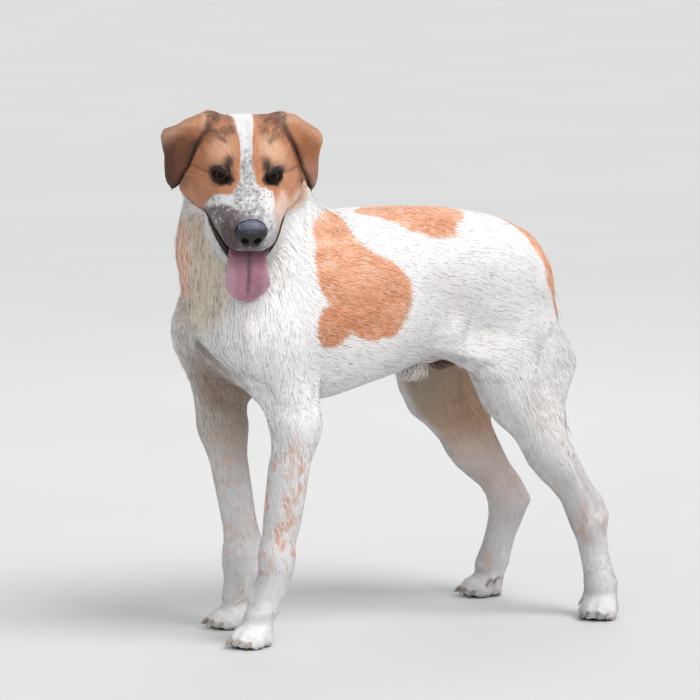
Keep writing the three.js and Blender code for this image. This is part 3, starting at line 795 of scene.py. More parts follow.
def white_face(tint, p, h, w, wobble, speck):
    """The white blaze, muzzle and underside of the jaw, with the roan and freckles on them."""
    s, f, u = h.T
    middle = np.interp(f, [-95, -60, 0, 30], [-5, -3, -2, -1])
    half = np.interp(f, [-110, -88, -60, -38, -12, 8, 24, 36, 50],
                     [20, 16, 13, 12, 9, 8, 9.5, 11.5, 20])
    blaze = half - np.abs(s - middle) + 0.35 * wobble
    front = np.where(s > 0, 44 + 2.5 * np.clip(-u - 2, 0, 21) * rise(9, 20, s),
                     55 - 0.9 * np.clip(-s - 25, 0, 50)) + 5 * rise(-42, -54, u)
    muzzle = f - front + wobble
    white = np.maximum(rise(-1.2, 1.2, blaze) * (u > 0) * (f > -115), rise(-2.5, 2.5, muzzle))
    under = rise(-50, -60, u + 0.16 * (f + 20) + 1.2 * wobble) * rise(-96, -70, f)
    under = np.maximum(under, rise(0.3, 0.6, w["lower_jaw"]))
    white = np.maximum(white, under)
    roan = (rise(36, 66, f) * rise(-20, -60, u) * 0.3
            + 0.68 * rise(-15, 25, f) * rise(26, 14, np.abs(s + 3)) + 0.35 * rise(82, 98, f))
    patchy = ripple(p, 0.008, 18)
    upper = rise(0.35, 0.65, w["head"] / np.maximum(w["head"] + w["lower_jaw"], 1e-3))
    mask = rise(-10, -20, s + 0.25 * wobble)             # the dark right half of the muzzle
    mask = mask * rise(52, 63, f - 0.7 * (s + 20) - 0.9 * (u + 30) + 3 * speck)
    mask = mask * rise(6, -6, u) * upper
    pale = rise(26, 38, s) * rise(-4, -15, u) * rise(12, 30, f) * rise(99, 88, f) * upper
    nose_side = rise(12, 4, np.abs(np.hypot((s + 4) * 0.85, u + 24) - 22)) * rise(84, 96, f)
    lip = np.minimum(*(distance_to_line(h, MOUTH[k], 40) for k in (-1, 1)))
    fleck = spots(p, 0.0040, 16, 0.13) * rise(-30, 5, f) * white * (u > -40)
    return painted(
        tint,
        (WHITE * 0.9, white),
        (CREAM, 0.5 * under * rise(0.3, -0.6, ripple(p, 0.02, 15))),
        (GREY, white * (f > -12) * roan * (0.8 + speck + 0.5 * patchy)),
        (ROAN, 0.9 * mask * rise(-0.9, 0.3, speck + 0.3 + 0.4 * patchy)),
        (SOOT, 0.7 * mask * rise(78, 98, f) * rise(-8, -26, u)),
        (BLUSH, 0.78 * pale),
        (GREY, 0.4 * pale * rise(62, 82, f + 6 * speck)),
        (ROAN, 0.55 * nose_side * rise(6, -14, s)),
        (ROAN, 0.7 * rise(10, 6, lip) * (s < 0) * upper),
        (ROAN, 0.6 * upper * rise(16, 8, np.abs(s)) * rise(-42, -48, u) * rise(70, 90, f)),
        (ROAN, 0.62 * fleck))


def ear_leather(p, h, wobble, speck, ear_shadow_seam):
    """Ears: rusty at the fold, dark brown down the right flap and painted shade over that ear,
    paler on the left with a tan rim.
    """
    s, f, u = h.T
    out = np.abs(s)
    right = s < 0
    flap = rise(54, 30, u + 0.4 * wobble)
    rim = rise(103, 108, out + 0.3 * wobble) * rise(-6, 16, u)
    return painted(
        all_over(RUST, p),
        # the right ear darker than the left: partly its brown, partly painted shade
        (RUST * 0.62, np.where(right, 0.7, 0.45 * rise(8, 22, u) * rise(104, 96, out))),
        (ORANGE, 0.75 * rise(84, 66, out + wobble) * rise(30, 46, u + 1.5 * wobble)),
        (TAN, 0.5 * rise(66, 54, out) * rise(40, 52, u)),
        (UMBER, (0.72 + 0.15 * speck) * flap * right),
        (BROWN, 0.35 * flap * right * rise(10, -20, u)),
        (DARK, 0.32 * flap * right * rise(90, 102, out) * rise(40, 20, u)),
        (CHESTNUT, 0.65 * rise(16, 0, u + wobble) * ~right),
        (DARK, (0.5 * rise(-12, -42, u) + 0.3 * rise(78, 70, out) * flap) * right),
        (TAN, np.where(right, 0.0, 0.65) * rim),
        (TAN, 0.5 * (1 - rise(-8, 8, f + 48))),
        # painted shadow along the ear's front edge
        (DARK, 0.75 * rise(5, 1.5, ear_shadow_seam) + 0.45 * rise(11, 4, ear_shadow_seam) * rise(40, 20, u)))


def head_tint(p, h, w):
    """Colour of the head, jaw and ears; p in metres and h in the head's frame."""
    wobble = 2.6 * ripple(p, 0.012, 11) + 1.4 * ripple(p, 0.005, 12)
    speck = ripple(p, 0.0035, 13)
    f, u = h[:, 1], h[:, 2]
    tint = dark_marks(orange_head(p, h, speck), h, speck)
    tint = white_face(tint, p, h, w, wobble, speck)
    ear_shadow_seam = np.minimum(*(distance_to_line(h, mirrored(EAR_EDGE, k), 50) for k in (-1, 1)))
    # painted shadow along the ears' front edges
    tint = over(tint, BROWN, 0.8 * rise(8, 2.5, ear_shadow_seam + 1.2 * speck))
    past = rise(-1, 1.5, past_ear_edge(np.abs(h[:, 0]), u)) * rise(16, 26, u) * rise(-90, -80, f)
    ear = np.maximum(rise(0.38, 0.62, w["ear"]), past)[:, None]
    return tint * (1 - ear) + ear_leather(p, h, wobble, speck, ear_shadow_seam) * ear


def shaded_white(p, h, w):
    """The coat's white, creamy at the neck's front, with painted shade under the head, on flanks
    and legs and in hollows.
    """
    x, y, z = p.T / MM
    shade = ripple(p, 0.05, 21)
    # painted shade: the white greyed low on the flank and down the legs
    flank_leg_shade = 0.5 * rise(-60, 40, y) * rise(570, 500, z) + 0.36 * w["foreleg"] * rise(330, 240, z)
    flank_leg_shade += 0.2 * w["hindleg"] * rise(300, 180, z)
    # a creamy neck front, darkened as painted shade under the head
    throat_cream_and_shade = 0.85 * rise(-170, -230, y) * rise(60, 20, x) * rise(-112, -76, x)
    throat_cream_and_shade = throat_cream_and_shade * rise(430, 500, z) * rise(650, 600, z)
    # painted shade on the neck under the right cheek
    shade_under_cheek = rise(46, 20, length(h - np.array([-72, -10, -60]))) * w["neck"]
    # painted brown shade on the right of the chest, between the forelegs
    breast_shade = rise(112, 22, np.hypot((x + 50) * 1.3, (z - 352) * 0.8)) * (w["trunk"] + w["foreleg"])
    breast_shade = breast_shade * rise(-130, -190, y)
    cleft = distance_to_line(p / MM, BRISKET_CLEFT[:4], 30)
    body = painted(
        all_over(WHITE, p),
        (CREAM, 0.18 * rise(-0.1, 0.9, shade)),
        (PAINTED_SHADE_GREY, flank_leg_shade * (0.8 + 0.4 * ripple(p, 0.03, 35))),
        (CREAM * [0.82, 0.78, 0.72], throat_cream_and_shade),
        (TAN * 0.7, 0.5 * shade_under_cheek),
        (BREAST_SHADE_BROWN, breast_shade * (0.88 + 0.12 * ripple(p * [1, 1, 0.4], 0.02, 36))),
        # painted shade down the right foreleg
        (CREAM * 0.6, 0.5 * w["foreleg"] * rise(-30, -62, x) * rise(180, 330, z)),
        # painted shade in the brisket's cleft
        (BROWN, 0.6 * rise(12, 3, cleft + 3 * shade) * (y < -200)))
    # painted shade inside the right thigh, cool in front and warm with its tan behind
    thigh = (w["hindleg"] + w["trunk"]) * rise(-128, -100, x) * rise(30, 0, x) * rise(200, 290, z)
    thigh = 0.85 * (thigh * rise(60, 110, y) * rise(292, 256, y) * rise(440, 400, z))[:, None]
    warmth = rise(120, 200, y)[:, None]
    body = body * (1 - thigh) + thigh * (THIGH_SHADE * (1 - warmth) + THIGH_WARM_SHADE * warmth)
    # painted light brown shade inside the right hind leg
    gaskin_shade = 0.28 * w["hindleg"] * rise(-128, -100, x) * rise(0, -20, x)
    return over(body, TAN, gaskin_shade * rise(290, 230, z) * rise(110, 190, z))


def orange_patches(body, p, patch):
    """Lays the orange on, deeper low down, paler on the neck's stripe, and streaked."""
    x, y, z = p.T / MM
    streak = ripple(p * [1, 0.45, 1], 0.016, 23)
    deep = painted(
        all_over(SAND, p),
        (SADDLE, 0.5 * rise(-0.4, 0.9, ripple(p, 0.04, 22)) + 0.5 * rise(560, 450, z)),
        (PALE_STRIPE, 0.5 * rise(10, -30, x) * rise(-120, -190, y)),
        (RUST * 1.1, 0.5 * rise(-0.1, 0.9, streak + 0.5 * rise(530, 470, z)) * rise(0, 40, x)),
        (PALE_STREAK, 0.5 * rise(0.1, 0.9, -streak) * rise(500, 560, z)))
    return over(body, deep, patch)


def ticked(body, p, w, patch):
    """Ticks on the forelegs, freckles on all legs, rare dark specks, and the worn left hock."""
    x, y, z = p.T / MM
    thick = rise(-1.0, -0.1, ripple(p, 0.035, 27))
    past, edge = beside_foreleg(p / MM)
    often = np.where(x > 20, 0.15 + 0.21 * np.exp(-((past - edge + 3) / 13) ** 2), 0.25)
    tick = spots(p * [1, 1, 0.7], 0.0062, 24, often) * w["foreleg"]
    tick = tick * rise(85, 130, z) * rise(330, 280, z)
    freckle = spots(p, 0.0105, 25, 0.10) * rise(0.15, 0.5, ripple(p, 0.045, 28)) * rise(560, 480, z)
    speck = spots(p, 0.0046, 29, 0.02) * rise(0.45, 0.6, ripple(p, 0.02, 30)) * (1 - patch)
    hock = w["hindleg"] * rise(34, 16, np.hypot(y - 292, (z - 150) * 0.8)) * rise(0, 40, x)
    return painted(
        body,
        (SAND * 0.9, 0.72 * tick * (0.35 + 0.65 * thick) * (0.5 + 0.5 * rise(-60, 20, x))),
        (SAND, 0.55 * freckle * (1 - patch) * (w["hindleg"] + 0.5 * w["foreleg"])),
        (ROAN, 0.7 * speck),
        (TAN * 0.7, 0.5 * hock * rise(-0.4, 0.5, ripple(p, 0.012, 26))))


def coat_tint(p, h, w):
    """The colour of the coat at each point: p in metres, h in the head's frame, w by region."""
    patch = body_orange(p) * np.clip(w["trunk"] + w["neck"] + w["hindleg"] + w["tail"], 0, 1)
    patch *= 1 - w["tail"] * rise(400, 340, p[:, 2] / MM)
    body = ticked(orange_patches(shaded_white(p, h, w), p, patch), p, w, patch)
    body = painted(body, (BROWN, 0.9 * under_belly(p, w, 108, (24, 30))),
                   # the sheath's tuft, painted lighter than the coat as painted light
                   (TUFT_WHITE_LIT, under_belly(p, w, 76, (16, 19))))
    head = np.clip(w["head"] + w["ear"] + w["lower_jaw"], 0, 1)
    near = head > 0.02
    out = body.copy()
    part = {k: v[near] for k, v in w.items()}
    share = rise(0.25, 0.75, head[near])[:, None]
    out[near] = body[near] * (1 - share) + head_tint(p[near], h[near], part) * share
    return np.clip(out, 0.004, 1)


# ---- lie of the coat ---------------------------------------------------------------------------
def lie_of(p, h, w):
    """Which way the hair points, before it is laid on the surface."""
    across, forward, up = HEAD_AXES
    s, f, u = h.T
    x, y, _ = p.T / MM
    side = np.sign(s)[:, None]

    def mixed(*pairs):
        return sum(np.asarray(v, float) * np.asarray(k, float).reshape(-1, 1) for k, v in pairs)

    # over the head from the nose back and outwards, and down the lips at the muzzle's tip
    head = -forward + across * side * (0.75 * rise(4, 60, np.abs(s)))[:, None]
    head = head + up * (0.35 * rise(10, 45, u) - 0.5 * rise(-10, -55, u))[:, None]
    tip = rise(84, 104, f)[:, None] * rise(-34, -48, u)[:, None]
    head = head * (1 - tip) + tip * (across * side * 0.9 - up * 0.8)
    over_fold = rise(22, 40, u)[:, None]
    ear = over_fold * (across * side + 0.25 * forward - 0.25 * up) + (1 - over_fold) * (
        -up + 0.12 * across * side + 0.15 * forward)
    front, rear = rise(-150, -225, y), rise(190, 270, y)
    trunk = mixed((1 - front - rear, (0, 1, -0.3)), (front, (0, 0.12, -1)), (rear, (0, 0.35, -1)))
    paw = np.column_stack([0.2 * np.sign(x), np.full(len(x), -0.75), np.full(len(x), -0.62)])
    return (mixed((w["head"] + w["lower_jaw"], head), (w["ear"], ear), (w["trunk"], trunk))
            + mixed((w["neck"], np.array([[0, 0.32, -0.95]])),
                    (w["foreleg"], np.array([[0, 0.3, -1.0]])),
                    (w["hindleg"], np.array([[0, 0.4, -1.0]])),
                    (w["tail"], np.array([[0, 0.25, -1.0]])))
            + paw * w["paw"][:, None])


lie = eased(lie_of(co, in_head(co), w), form_edges, 12, swell=0)
lie = along_surface(lie, normals(form))

# ---- skin --------------------------------------------------------------------------------------
def mouth_inside(h):
    """1 inside the open mouth, which has no coat."""
    inside = np.zeros(len(h))
    for k in (-1, 1):
        line = np.array(MOUTH[k], float)
        at_u = np.interp(h[:, 1], line[:, 1], line[:, 2])
        at_s = np.interp(h[:, 1], line[:, 1], np.abs(line[:, 0]))
        here = rise(12, 9, np.abs(h[:, 2] - at_u)) * rise(at_s - 1, at_s - 4, np.abs(h[:, 0]))
        here = here * rise(22, 30, h[:, 1]) * rise(100, 92, h[:, 1])
        inside = np.maximum(inside, here * (np.sign(h[:, 0]) == k))
    return inside


def skin_tint(p, h, w):
    """The coat's colours, and the bare skin of lips, lids, mouth and pads."""
    tint = coat_tint(p, h, w)
    z = p[:, 2] / MM
    tint = over(tint, DARK * 1.3, rise(7, 4, z) * w["paw"])
    near = (w["head"] + w["lower_jaw"]) > 0.3
    g = h[near]
    t = tint[near]
    for k in (-1, 1):
        t = over(t, DARK, rise(6.6, 4.8, distance_to_line(g, MOUTH[k], 60)))
        _, out = eye_round(g, k)
        t = over(t, DARK, rise(5.5, 3.5, out))
    # the mouth's red, darkened as painted shade inside the open mouth
    tint[near] = over(t, MOUTH_SHADED_RED, mouth_inside(g))
    return tint


def like_form(points, *layers):
    """The form's layers of values at the nearest of its points."""
    tree = KDTree(len(co))
    for k, c in enumerate(co):
        tree.insert(c, k)
    tree.balance()
    nearest = np.array([tree.find(p)[1] for p in points])
    return [layer[nearest] for layer in layers]


skin = with_modifier(form, "DECIMATE", ratio=min(1.0, SKIN_FACES / (2 * len(form.polygons))),
                     use_collapse_triangulate=True)
skin_co = places(skin)
skin_weights, skin_lie = like_form(skin_co, weights, lie)
skin_w = shares(skin_weights)
skin_h = in_head(skin_co)
skin_n = normals(skin)
_, skin_hair, skin_wide, skin_bare = fields(skin_co, skin_h, skin_w)
skin_bare = np.maximum(skin_bare, mouth_inside(skin_h))
colour_layer(skin, "tint", skin_tint(skin_co, skin_h, skin_w))
body = as_object("skin", skin, SKIN)
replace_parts(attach(body, "root"), *FLESH)

# ---- coat --------------------------------------------------------------------------------------
skin.calc_loop_triangles()
corner_of = np.empty(len(skin.loop_triangles) * 3, np.int32)
skin.loop_triangles.foreach_get("vertices", corner_of)
corner_of = corner_of.reshape(-1, 3)
skin_tree = BVHTree.FromPolygons([Vector(c) for c in skin_co], corner_of.tolist())


def flat_map():
    """An unwrap of the skin's own shape: a plain low form, its places and its map."""
    low = with_modifier(skin, "DECIMATE", ratio=FLAT_MAP_FACES / len(skin.polygons),
                        use_collapse_triangulate=True)
    obj = as_object("flat_map", low)
    bpy.context.view_layer.objects.active = obj
    obj.select_set(True)
    bpy.ops.object.mode_set(mode="EDIT")
    bpy.ops.mesh.select_all(action="SELECT")
    bpy.ops.uv.smart_project(angle_limit=math.radians(66), island_margin=0.006)
    bpy.ops.object.mode_set(mode="OBJECT")
    low = obj.data
    low_co = places(low)
    face = np.empty(len(low.loops), np.int32)
    low.loops.foreach_get("vertex_index", face)
    uv = np.empty(len(low.loops) * 2, np.float32)
    low.uv_layers.active.data.foreach_get("uv", uv)
    bpy.data.objects.remove(obj)
    return low_co, face.reshape(-1, 3), uv.reshape(-1, 3, 2).astype(float)


low_co, low_face, low_uv = flat_map()
low_tree = BVHTree.FromPolygons([Vector(c) for c in low_co], low_face.tolist())


def on_flat_map(points):
    """Where each place lies on the skin's unwrap."""
    hits = [low_tree.find_nearest(Vector(p))[::2] for p in points]
    at = np.array([h[0] for h in hits])
    k = np.array([h[1] for h in hits])
    a, b, c = (low_co[low_face[k, j]] for j in range(3))
    whole = np.cross(b - a, c - a)
    size = np.sum(whole * whole, axis=1)
    u = np.sum(np.cross(c - b, at - b) * whole, axis=1) / size
    v = np.sum(np.cross(a - c, at - c) * whole, axis=1) / size
    share = np.clip(np.column_stack([u, v, 1 - u - v]), 0, 1)
    share /= share.sum(1, keepdims=True)
    return np.clip(np.einsum("ij,ijk->ik", share, low_uv[k]), 0.002, 0.998)


def on_skin(points, step):
    """The nearest places on the skin, its normal and its lie; past an edge hair hangs free."""
    hits = [skin_tree.find_nearest(Vector(p)) for p in points]
    at = np.array([h[0] for h in hits])
    k = corner_of[[h[2] for h in hits]]
    free = 0.8 * rise(0.5, 0.9, length(points - at) / step)[:, None]
    return at * (1 - free) + points * free, unit(skin_n[k].mean(1)), unit(skin_lie[k].mean(1))


HANGING = 40                                             # shortest hair that hangs free
PARTING = -0.028                                         # where the belly's tuft parts, in metres
STRAYS = 0.015                                           # share of tufts that stand off
ROOTED = 0.0005                                          # how deep a tuft begins under the skin
WAIST_LEAST, TIP_LEAST = 0.0008, 0.0004                  # how close to the floor a tuft comes


def roots():
    """Scattered places on the skin, closer where hair is finer, and what the skin has there."""
    a, b, c = (skin_co[corner_of[:, k]] for k in range(3))
    area = 0.5 * length(np.cross(b - a, c - a)) / MM ** 2
    fur = skin_wide * np.sqrt(skin_hair)
    close = (1 - rise(0.35, 0.65, skin_bare)) / np.maximum(fur, 1) ** 1.15
    close *= 1 - 0.4 * (skin_w["hindleg"] + skin_w["foreleg"] + skin_w["paw"])
    expected = area * close[corner_of].mean(1)
    expected *= TUFTS / expected.sum()
    count = np.floor(expected + rng.random(len(expected))).astype(int)
    face = np.repeat(np.arange(len(count)), count)
    share = rng.random((len(face), 2))
    share = np.where(share.sum(1, keepdims=True) > 1, 1 - share, share)
    share = np.column_stack([share, 1 - share.sum(1)])

    def there(layer):
        return np.einsum("ij,ijk->ik", share, layer[corner_of[face]])

    return [there(x) for x in (skin_co, skin_n, skin_lie, skin_weights)]


def hanging(p, h, w):
    """Which way hair that hangs clear of the skin points, and how freely it hangs."""
    s, f, u = h.T
    sheath = np.maximum(under_belly(p, w, 78, (15, 20), (1.1, 0.8), 404),
                        0.5 * under_belly(p, w, 112, (20, 26), (1.1, 0.8)))
    cheek = np.sqrt(((np.abs(s) - 72) / 20) ** 2 + ((f + 12) / 30) ** 2 + ((u + 46) / 26) ** 2)
    cheek = 0.72 * rise(1.1, 0.5, cheek) * np.clip(w["head"] + w["lower_jaw"], 0, 1)
    peak = 0.6 * rise(10, 4, np.hypot(np.abs(s) - 46, (f + 62) * 0.5)) * rise(44, 52, u)
    z = p[:, 2] / MM
    tail_end = z[w["tail"] > 0.5].min()
    tassel = w["tail"] * rise(tail_end + 30, tail_end + 6, z)
    down = np.array([0.0, -0.35, -0.92])
    across, forward, up = HEAD_AXES
    outward = across * np.sign(s)[:, None] * 0.75 - forward * 0.35 - up * 0.6
    above = across * np.sign(s)[:, None] * 0.5 + up * 0.7 - forward * 0.3
    way = (sheath[:, None] * down + cheek[:, None] * outward + peak[:, None] * above
           + tassel[:, None] * np.array([0.0, 0.25, -1.0]) + TRACE * down)
    return unit(way), np.clip(sheath + cheek + peak + tassel, 0, 1)[:, None]


root, root_n, root_lie, root_weights = roots()
root_n, root_lie = unit(root_n), unit(root_lie)
root_w = shares(root_weights)
root_h = in_head(root)
depth, hair, wide, _ = fields(root, root_h, root_w)
root_tint = coat_tint(root, root_h, root_w)

# Neighbouring tufts wander together, and each a little by itself.
loose = root_w["neck"] + 0.6 * root_w["trunk"] + 0.6 * root_w["hindleg"] + root_w["tail"]
loose = np.clip(loose, 0.25, 1)
sway = 0.30 * loose * ripple(root, 0.022, 31) + (0.06 + 0.07 * loose) * rng.normal(size=len(root))
aside = np.cross(root_n, root_lie)
way = unit(root_lie * np.cos(sway)[:, None] + aside * np.sin(sway)[:, None])
hair = hair * (0.92 + 0.22 * rng.random(len(root)) + 0.16 * ripple(root, 0.03, 32))
wide = wide * (0.8 + 0.4 * rng.random(len(root)))
lock = ripple(root, 0.016, 33)
shade = 1 + 0.05 * rng.normal(size=len(root)) + 0.04 * lock
# Orange locks differ in depth of colour from one to the next.
warm = rise(0.12, 0.4, root_tint[:, 0] - root_tint[:, 2])
warm = warm * (0.5 + 0.5 * (root_w["trunk"] + root_w["neck"]))
deeper = np.clip(0.16 * lock + 0.17 * rng.normal(size=len(root)), -0.4, 0.5)
root_tint = root_tint ** (1 + warm * deeper)[:, None]
# Hair that hangs free is longer, and that at the tips of the ears shorter.
free_way, free = hanging(root, root_h, root_w)
way = unit(way * (1 - free) + free_way * free + 0.1 * free * rng.normal(size=way.shape))
hanging_hair = np.maximum(hair, HANGING) * free[:, 0]
hair = hair * (1 - free[:, 0]) + hanging_hair * (root_w["trunk"] + 0.6 * (1 - root_w["trunk"]))
near_tip = np.minimum(*(length(root_h - np.array([k * 93, -25, -34])) for k in (-1, 1)))
hair = hair * (1 - 0.6 * rise(16, 6, near_tip))

# Each tuft goes from its root over a middle to its end, and both follow the skin unless free.
step = 0.42 * hair * MM
middle, middle_n, middle_lie = on_skin(root + way * step[:, None], step)
turned = unit(unit(along_surface(way + 0.5 * middle_lie, middle_n)) * (1 - free) + way * free)
step = 0.58 * hair * MM
end, end_n, _ = on_skin(middle + turned * step[:, None], step)
# Hair that hangs from belly and tail faces sideways, so that it takes the light as its flank does.
sideways = 0.8 * np.sign(root[:, 0] - PARTING) * root_w["trunk"]
level = unit(root_n * [1, 1, 0.1] + np.outer(sideways, [1, 0, 0]))
hung = free * (root_w["trunk"] + root_w["tail"])[:, None]
middle_n, end_n = (unit(normal * (1 - hung) + level * hung) for normal in (middle_n, end_n))
lift = np.clip(0.9 + 0.25 * lock + 0.15 * rng.normal(size=len(root)), 0.4, 1.5)
lift = lift + 2.4 * (rng.random(len(root)) < STRAYS) * rise(2.3, 3.1, depth)
stand = rise(2.0, 5.0, depth)                            # deeper coats stand off more
middle = middle + middle_n * (depth * (0.26 + 0.16 * stand) * lift * MM + 0.0002)[:, None]
end = end + end_n * (depth * (0.24 + 0.30 * stand) * lift * MM + 0.0001)[:, None]
end[:, 2] = np.maximum(end[:, 2], TIP_LEAST)
middle[:, 2] = np.maximum(middle[:, 2], WAIST_LEAST)
base = root - root_n * ROOTED
flat_uv = on_flat_map(root)


def coat_piece(name, chosen):
    """One mesh of tufts: closed, tapering locks with a root, a three-sided waist and a tip."""
    k = np.flatnonzero(chosen)
    m, n = middle[k], middle_n[k]
    along = unit(end[k] - base[k])
    out = unit(np.cross(n, along)) * (wide[k] * 0.5 * MM)[:, None]
    thick = n * (wide[k] * MM)[:, None]
    points = np.stack([base[k], m + out - thick * 0.03, m - out - thick * 0.03, m + thick * 0.09,
                       end[k]], axis=1).reshape(-1, 3)
    # three faces from the root to the waist and three from the tip
    corners = np.array([0, 3, 1, 0, 2, 3, 0, 1, 2, 4, 1, 3, 4, 3, 2, 4, 2, 1])
    loops = (5 * np.arange(len(k))[:, None] + corners).ravel()
    mesh = bpy.data.meshes.new(name)
    mesh.vertices.add(len(points))
    mesh.loops.add(len(loops))
    mesh.polygons.add(len(loops) // 3)
    mesh.vertices.foreach_set("co", points.astype(np.float32).ravel())
    mesh.loops.foreach_set("vertex_index", loops.astype(np.int32))
    mesh.polygons.foreach_set("loop_start", np.arange(0, len(loops), 3, dtype=np.int32))
    mesh.update(calc_edges=True)
    # each tuft has a small diamond of the map, at its root's place on the unwrap
    patch = np.array([(-1.5, 0), (-0.2, 1.4), (-0.2, -1.4), (0.4, 0.1), (1.5, -0.1)]) * MM
    uv = mesh.uv_layers.new(name="OFBake")
    uv.data.foreach_set("uv", (flat_uv[k][:, None] + patch[corners]).astype(np.float32).ravel())
    # a random tone for each tuft, and its tip a little lighter as painted light
    tone = np.array([1.0, 1.0, 1.0, 1.0, 1.03])[None, :, None] * shade[k][:, None, None]
    colour_layer(mesh, "tint", np.clip(root_tint[k][:, None] * tone, 0.004, 0.95).reshape(-1, 3))
    piece = as_object(name, mesh, HAIR)
    round_out = np.stack([out * 0, out, -out, thick * 0.4, out * 0], axis=1)
    round_out = round_out / (wide[k] * MM)[:, None, None]
    soft = unit(n[:, None] + 0.26 * round_out).reshape(-1, 3)
    mesh.normals_split_custom_set_from_vertices(soft.tolist())
    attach(piece, "root")


kind = root_weights.argmax(1)
named = {r: kind == k for k, r in enumerate(REGIONS)}
left = root[:, 0] > MIDDLE * MM
skull = named["head"] | named["lower_jaw"]
face = root_h[:, 1] > -12
chest = root[:, 1] < -0.13
coat_pieces = {
    "coat_face_left": skull & face & (root_h[:, 0] > 0),
    "coat_face_right": skull & face & (root_h[:, 0] <= 0),
    "coat_crown": skull & ~face,
    "coat_ears": named["ear"],
    "coat_neck": named["neck"],
    "coat_chest": named["trunk"] & chest,
    "coat_trunk_left": named["trunk"] & ~chest & left,
    "coat_trunk_right": named["trunk"] & ~chest & ~left,
    "coat_foreleg_left": named["foreleg"] & left,
    "coat_foreleg_right": named["foreleg"] & ~left,
    "coat_hindleg_left": named["hindleg"] & left,
    "coat_hindleg_right": named["hindleg"] & ~left,
    "coat_paws": named["paw"],
    "coat_tail": named["tail"],
}
for name, chosen in coat_pieces.items():
    coat_piece(name, chosen)

# ---- eyes --------------------------------------------------------------------------------------
def eye_material():
    """Brown iris with fine spokes, dark rim and pupil, by the eye's own axes."""
    m, nodes, links, shader = material("eye", Roughness=0.5, Coat_Weight=0.11, Coat_Roughness=0.02,
                                       Specular_IOR_Level=0.05)
    own = node(nodes, "ShaderNodeAttribute", attribute_name="gaze")
    part = nodes.new("ShaderNodeSeparateXYZ")
    links.new(own.outputs["Vector"], part.inputs[0])
    flat = nodes.new("ShaderNodeCombineXYZ")
    links.new(part.outputs[0], flat.inputs[0])
    links.new(part.outputs[1], flat.inputs[1])
    off = node(nodes, "ShaderNodeVectorMath", operation="LENGTH")
    links.new(flat.outputs[0], off.inputs[0])
    spoke = node(nodes, "ShaderNodeTexNoise", Scale=9.0, Detail=3.0)
    round_ = node(nodes, "ShaderNodeVectorMath", operation="NORMALIZE")
    links.new(flat.outputs[0], round_.inputs[0])
    links.new(round_.outputs[0], spoke.inputs["Vector"])
    wander = node(nodes, "ShaderNodeMath", operation="MULTIPLY_ADD")
    links.new(spoke.outputs["Fac"], wander.inputs[0])
    wander.inputs[1].default_value = 0.05
    links.new(off.outputs["Value"], wander.inputs[2])
    ramp = nodes.new("ShaderNodeValToRGB")
    black, rim = (0.002, 0.002, 0.002, 1), (0.004, 0.003, 0.003, 1)
    ramp.color_ramp.elements[0].color = black
    ramp.color_ramp.elements[1].color = (0.06, 0.035, 0.03, 1)
    for at, colour in ((0.36, black), (0.40, (0.024, 0.009, 0.003, 1)),
                       (0.49, (0.074, 0.027, 0.008, 1)), (0.61, (0.02, 0.008, 0.004, 1)),
                       (0.70, rim), (0.86, rim)):
        ramp.color_ramp.elements.new(at).color = colour
    links.new(wander.outputs[0], ramp.inputs["Fac"])
    links.new(ramp.outputs["Color"], shader.inputs["Base Color"])
    return m


EYE = eye_material()


def eyeball(name, s):
    """A ball with a bulging cornea, turned to look along the gaze."""
    bm = bmesh.new()
    bmesh.ops.create_uvsphere(bm, u_segments=48, v_segments=32, radius=1)
    mesh = as_mesh(bm, name)
    q = places(mesh)
    bulge = 0.075 * rise(0.62, 1.0, q[:, 2])
    at, _ = eye_frame(s)
    look = unit(np.array([-0.10 + 0.09 * s, 0.84, 0.50]))
    up = unit(np.array([0, 0, 1.0]) - look * look[2])
    axes = np.array([np.cross(look, up) * s, up, look])
    place(mesh, from_head(at + (q * (1 + bulge)[:, None] * EYE_RADIUS) @ axes))
    if s < 0:
        mesh.flip_normals()
    # each place on the ball in the eye's own axes, by which the iris is drawn
    layer = mesh.attributes.new("gaze", "FLOAT_VECTOR", "POINT")
    layer.data.foreach_set("vector", q.astype(np.float32).ravel())
    piece = as_object(name, mesh, EYE)
    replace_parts(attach(piece, "root"), "eye_left" if s > 0 else "eye_right")


def lids(name, s):
    """The dark rim of the lids: a rolled edge round the open eye that sinks under the coat."""
    around, across, wide = 72, 10, 4.2
    bm = bmesh.new()
    bmesh.ops.create_grid(bm, x_segments=across, y_segments=around, size=0.5)
    mesh = as_mesh(bm, name)
    q = places(mesh)
    t, angle = q[:, 0] + 0.5, (q[:, 1] + 0.5) * 2 * math.pi
    c, v = np.cos(angle), np.sin(angle)
    o = EYE_OPEN[0] * c + wide * t * c
    up = EYE_OPEN[1] * v + EYE_SLANT * EYE_OPEN[0] * c + wide * t * v
    at, axes = eye_frame(s)
    g = over_eyeball(o, up) + 0.9 * np.sin(np.clip(t / 0.7, 0, 1) * math.pi)
    g = g - 0.8 * rise(0.15, 0, t) - 1.6 * rise(0.5, 1, t)
    place(mesh, from_head(at + np.column_stack([o, up, g]) @ axes))
    bm = bmesh.new()
    bm.from_mesh(mesh)
    bmesh.ops.remove_doubles(bm, verts=bm.verts, dist=1e-5)
    bmesh.ops.recalc_face_normals(bm, faces=bm.faces)
    bm.to_mesh(mesh)
    bm.free()
    mesh.update()
    p = places(mesh)
    h = in_head(p)
    _, out = eye_round(h, s)
    w = shares(all_over(np.eye(len(REGIONS))[REGIONS.index("head")], p))
    colour_layer(mesh, "tint", over(coat_tint(p, h, w) * 0.9, DARK * 0.55, rise(6, 3.5, out)))
    piece = as_object(name, mesh, LID)
    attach(piece, "root")


for name, s in (("eye_left_ball", 1), ("eye_right_ball", -1)):
    eyeball(name, s)
for name, s in (("lids_left", 1), ("lids_right", -1)):
    lids(name, s)

# ---- nose, tongue, lips and claws --------------------------------------------------------------
LIP_POINTS = 40


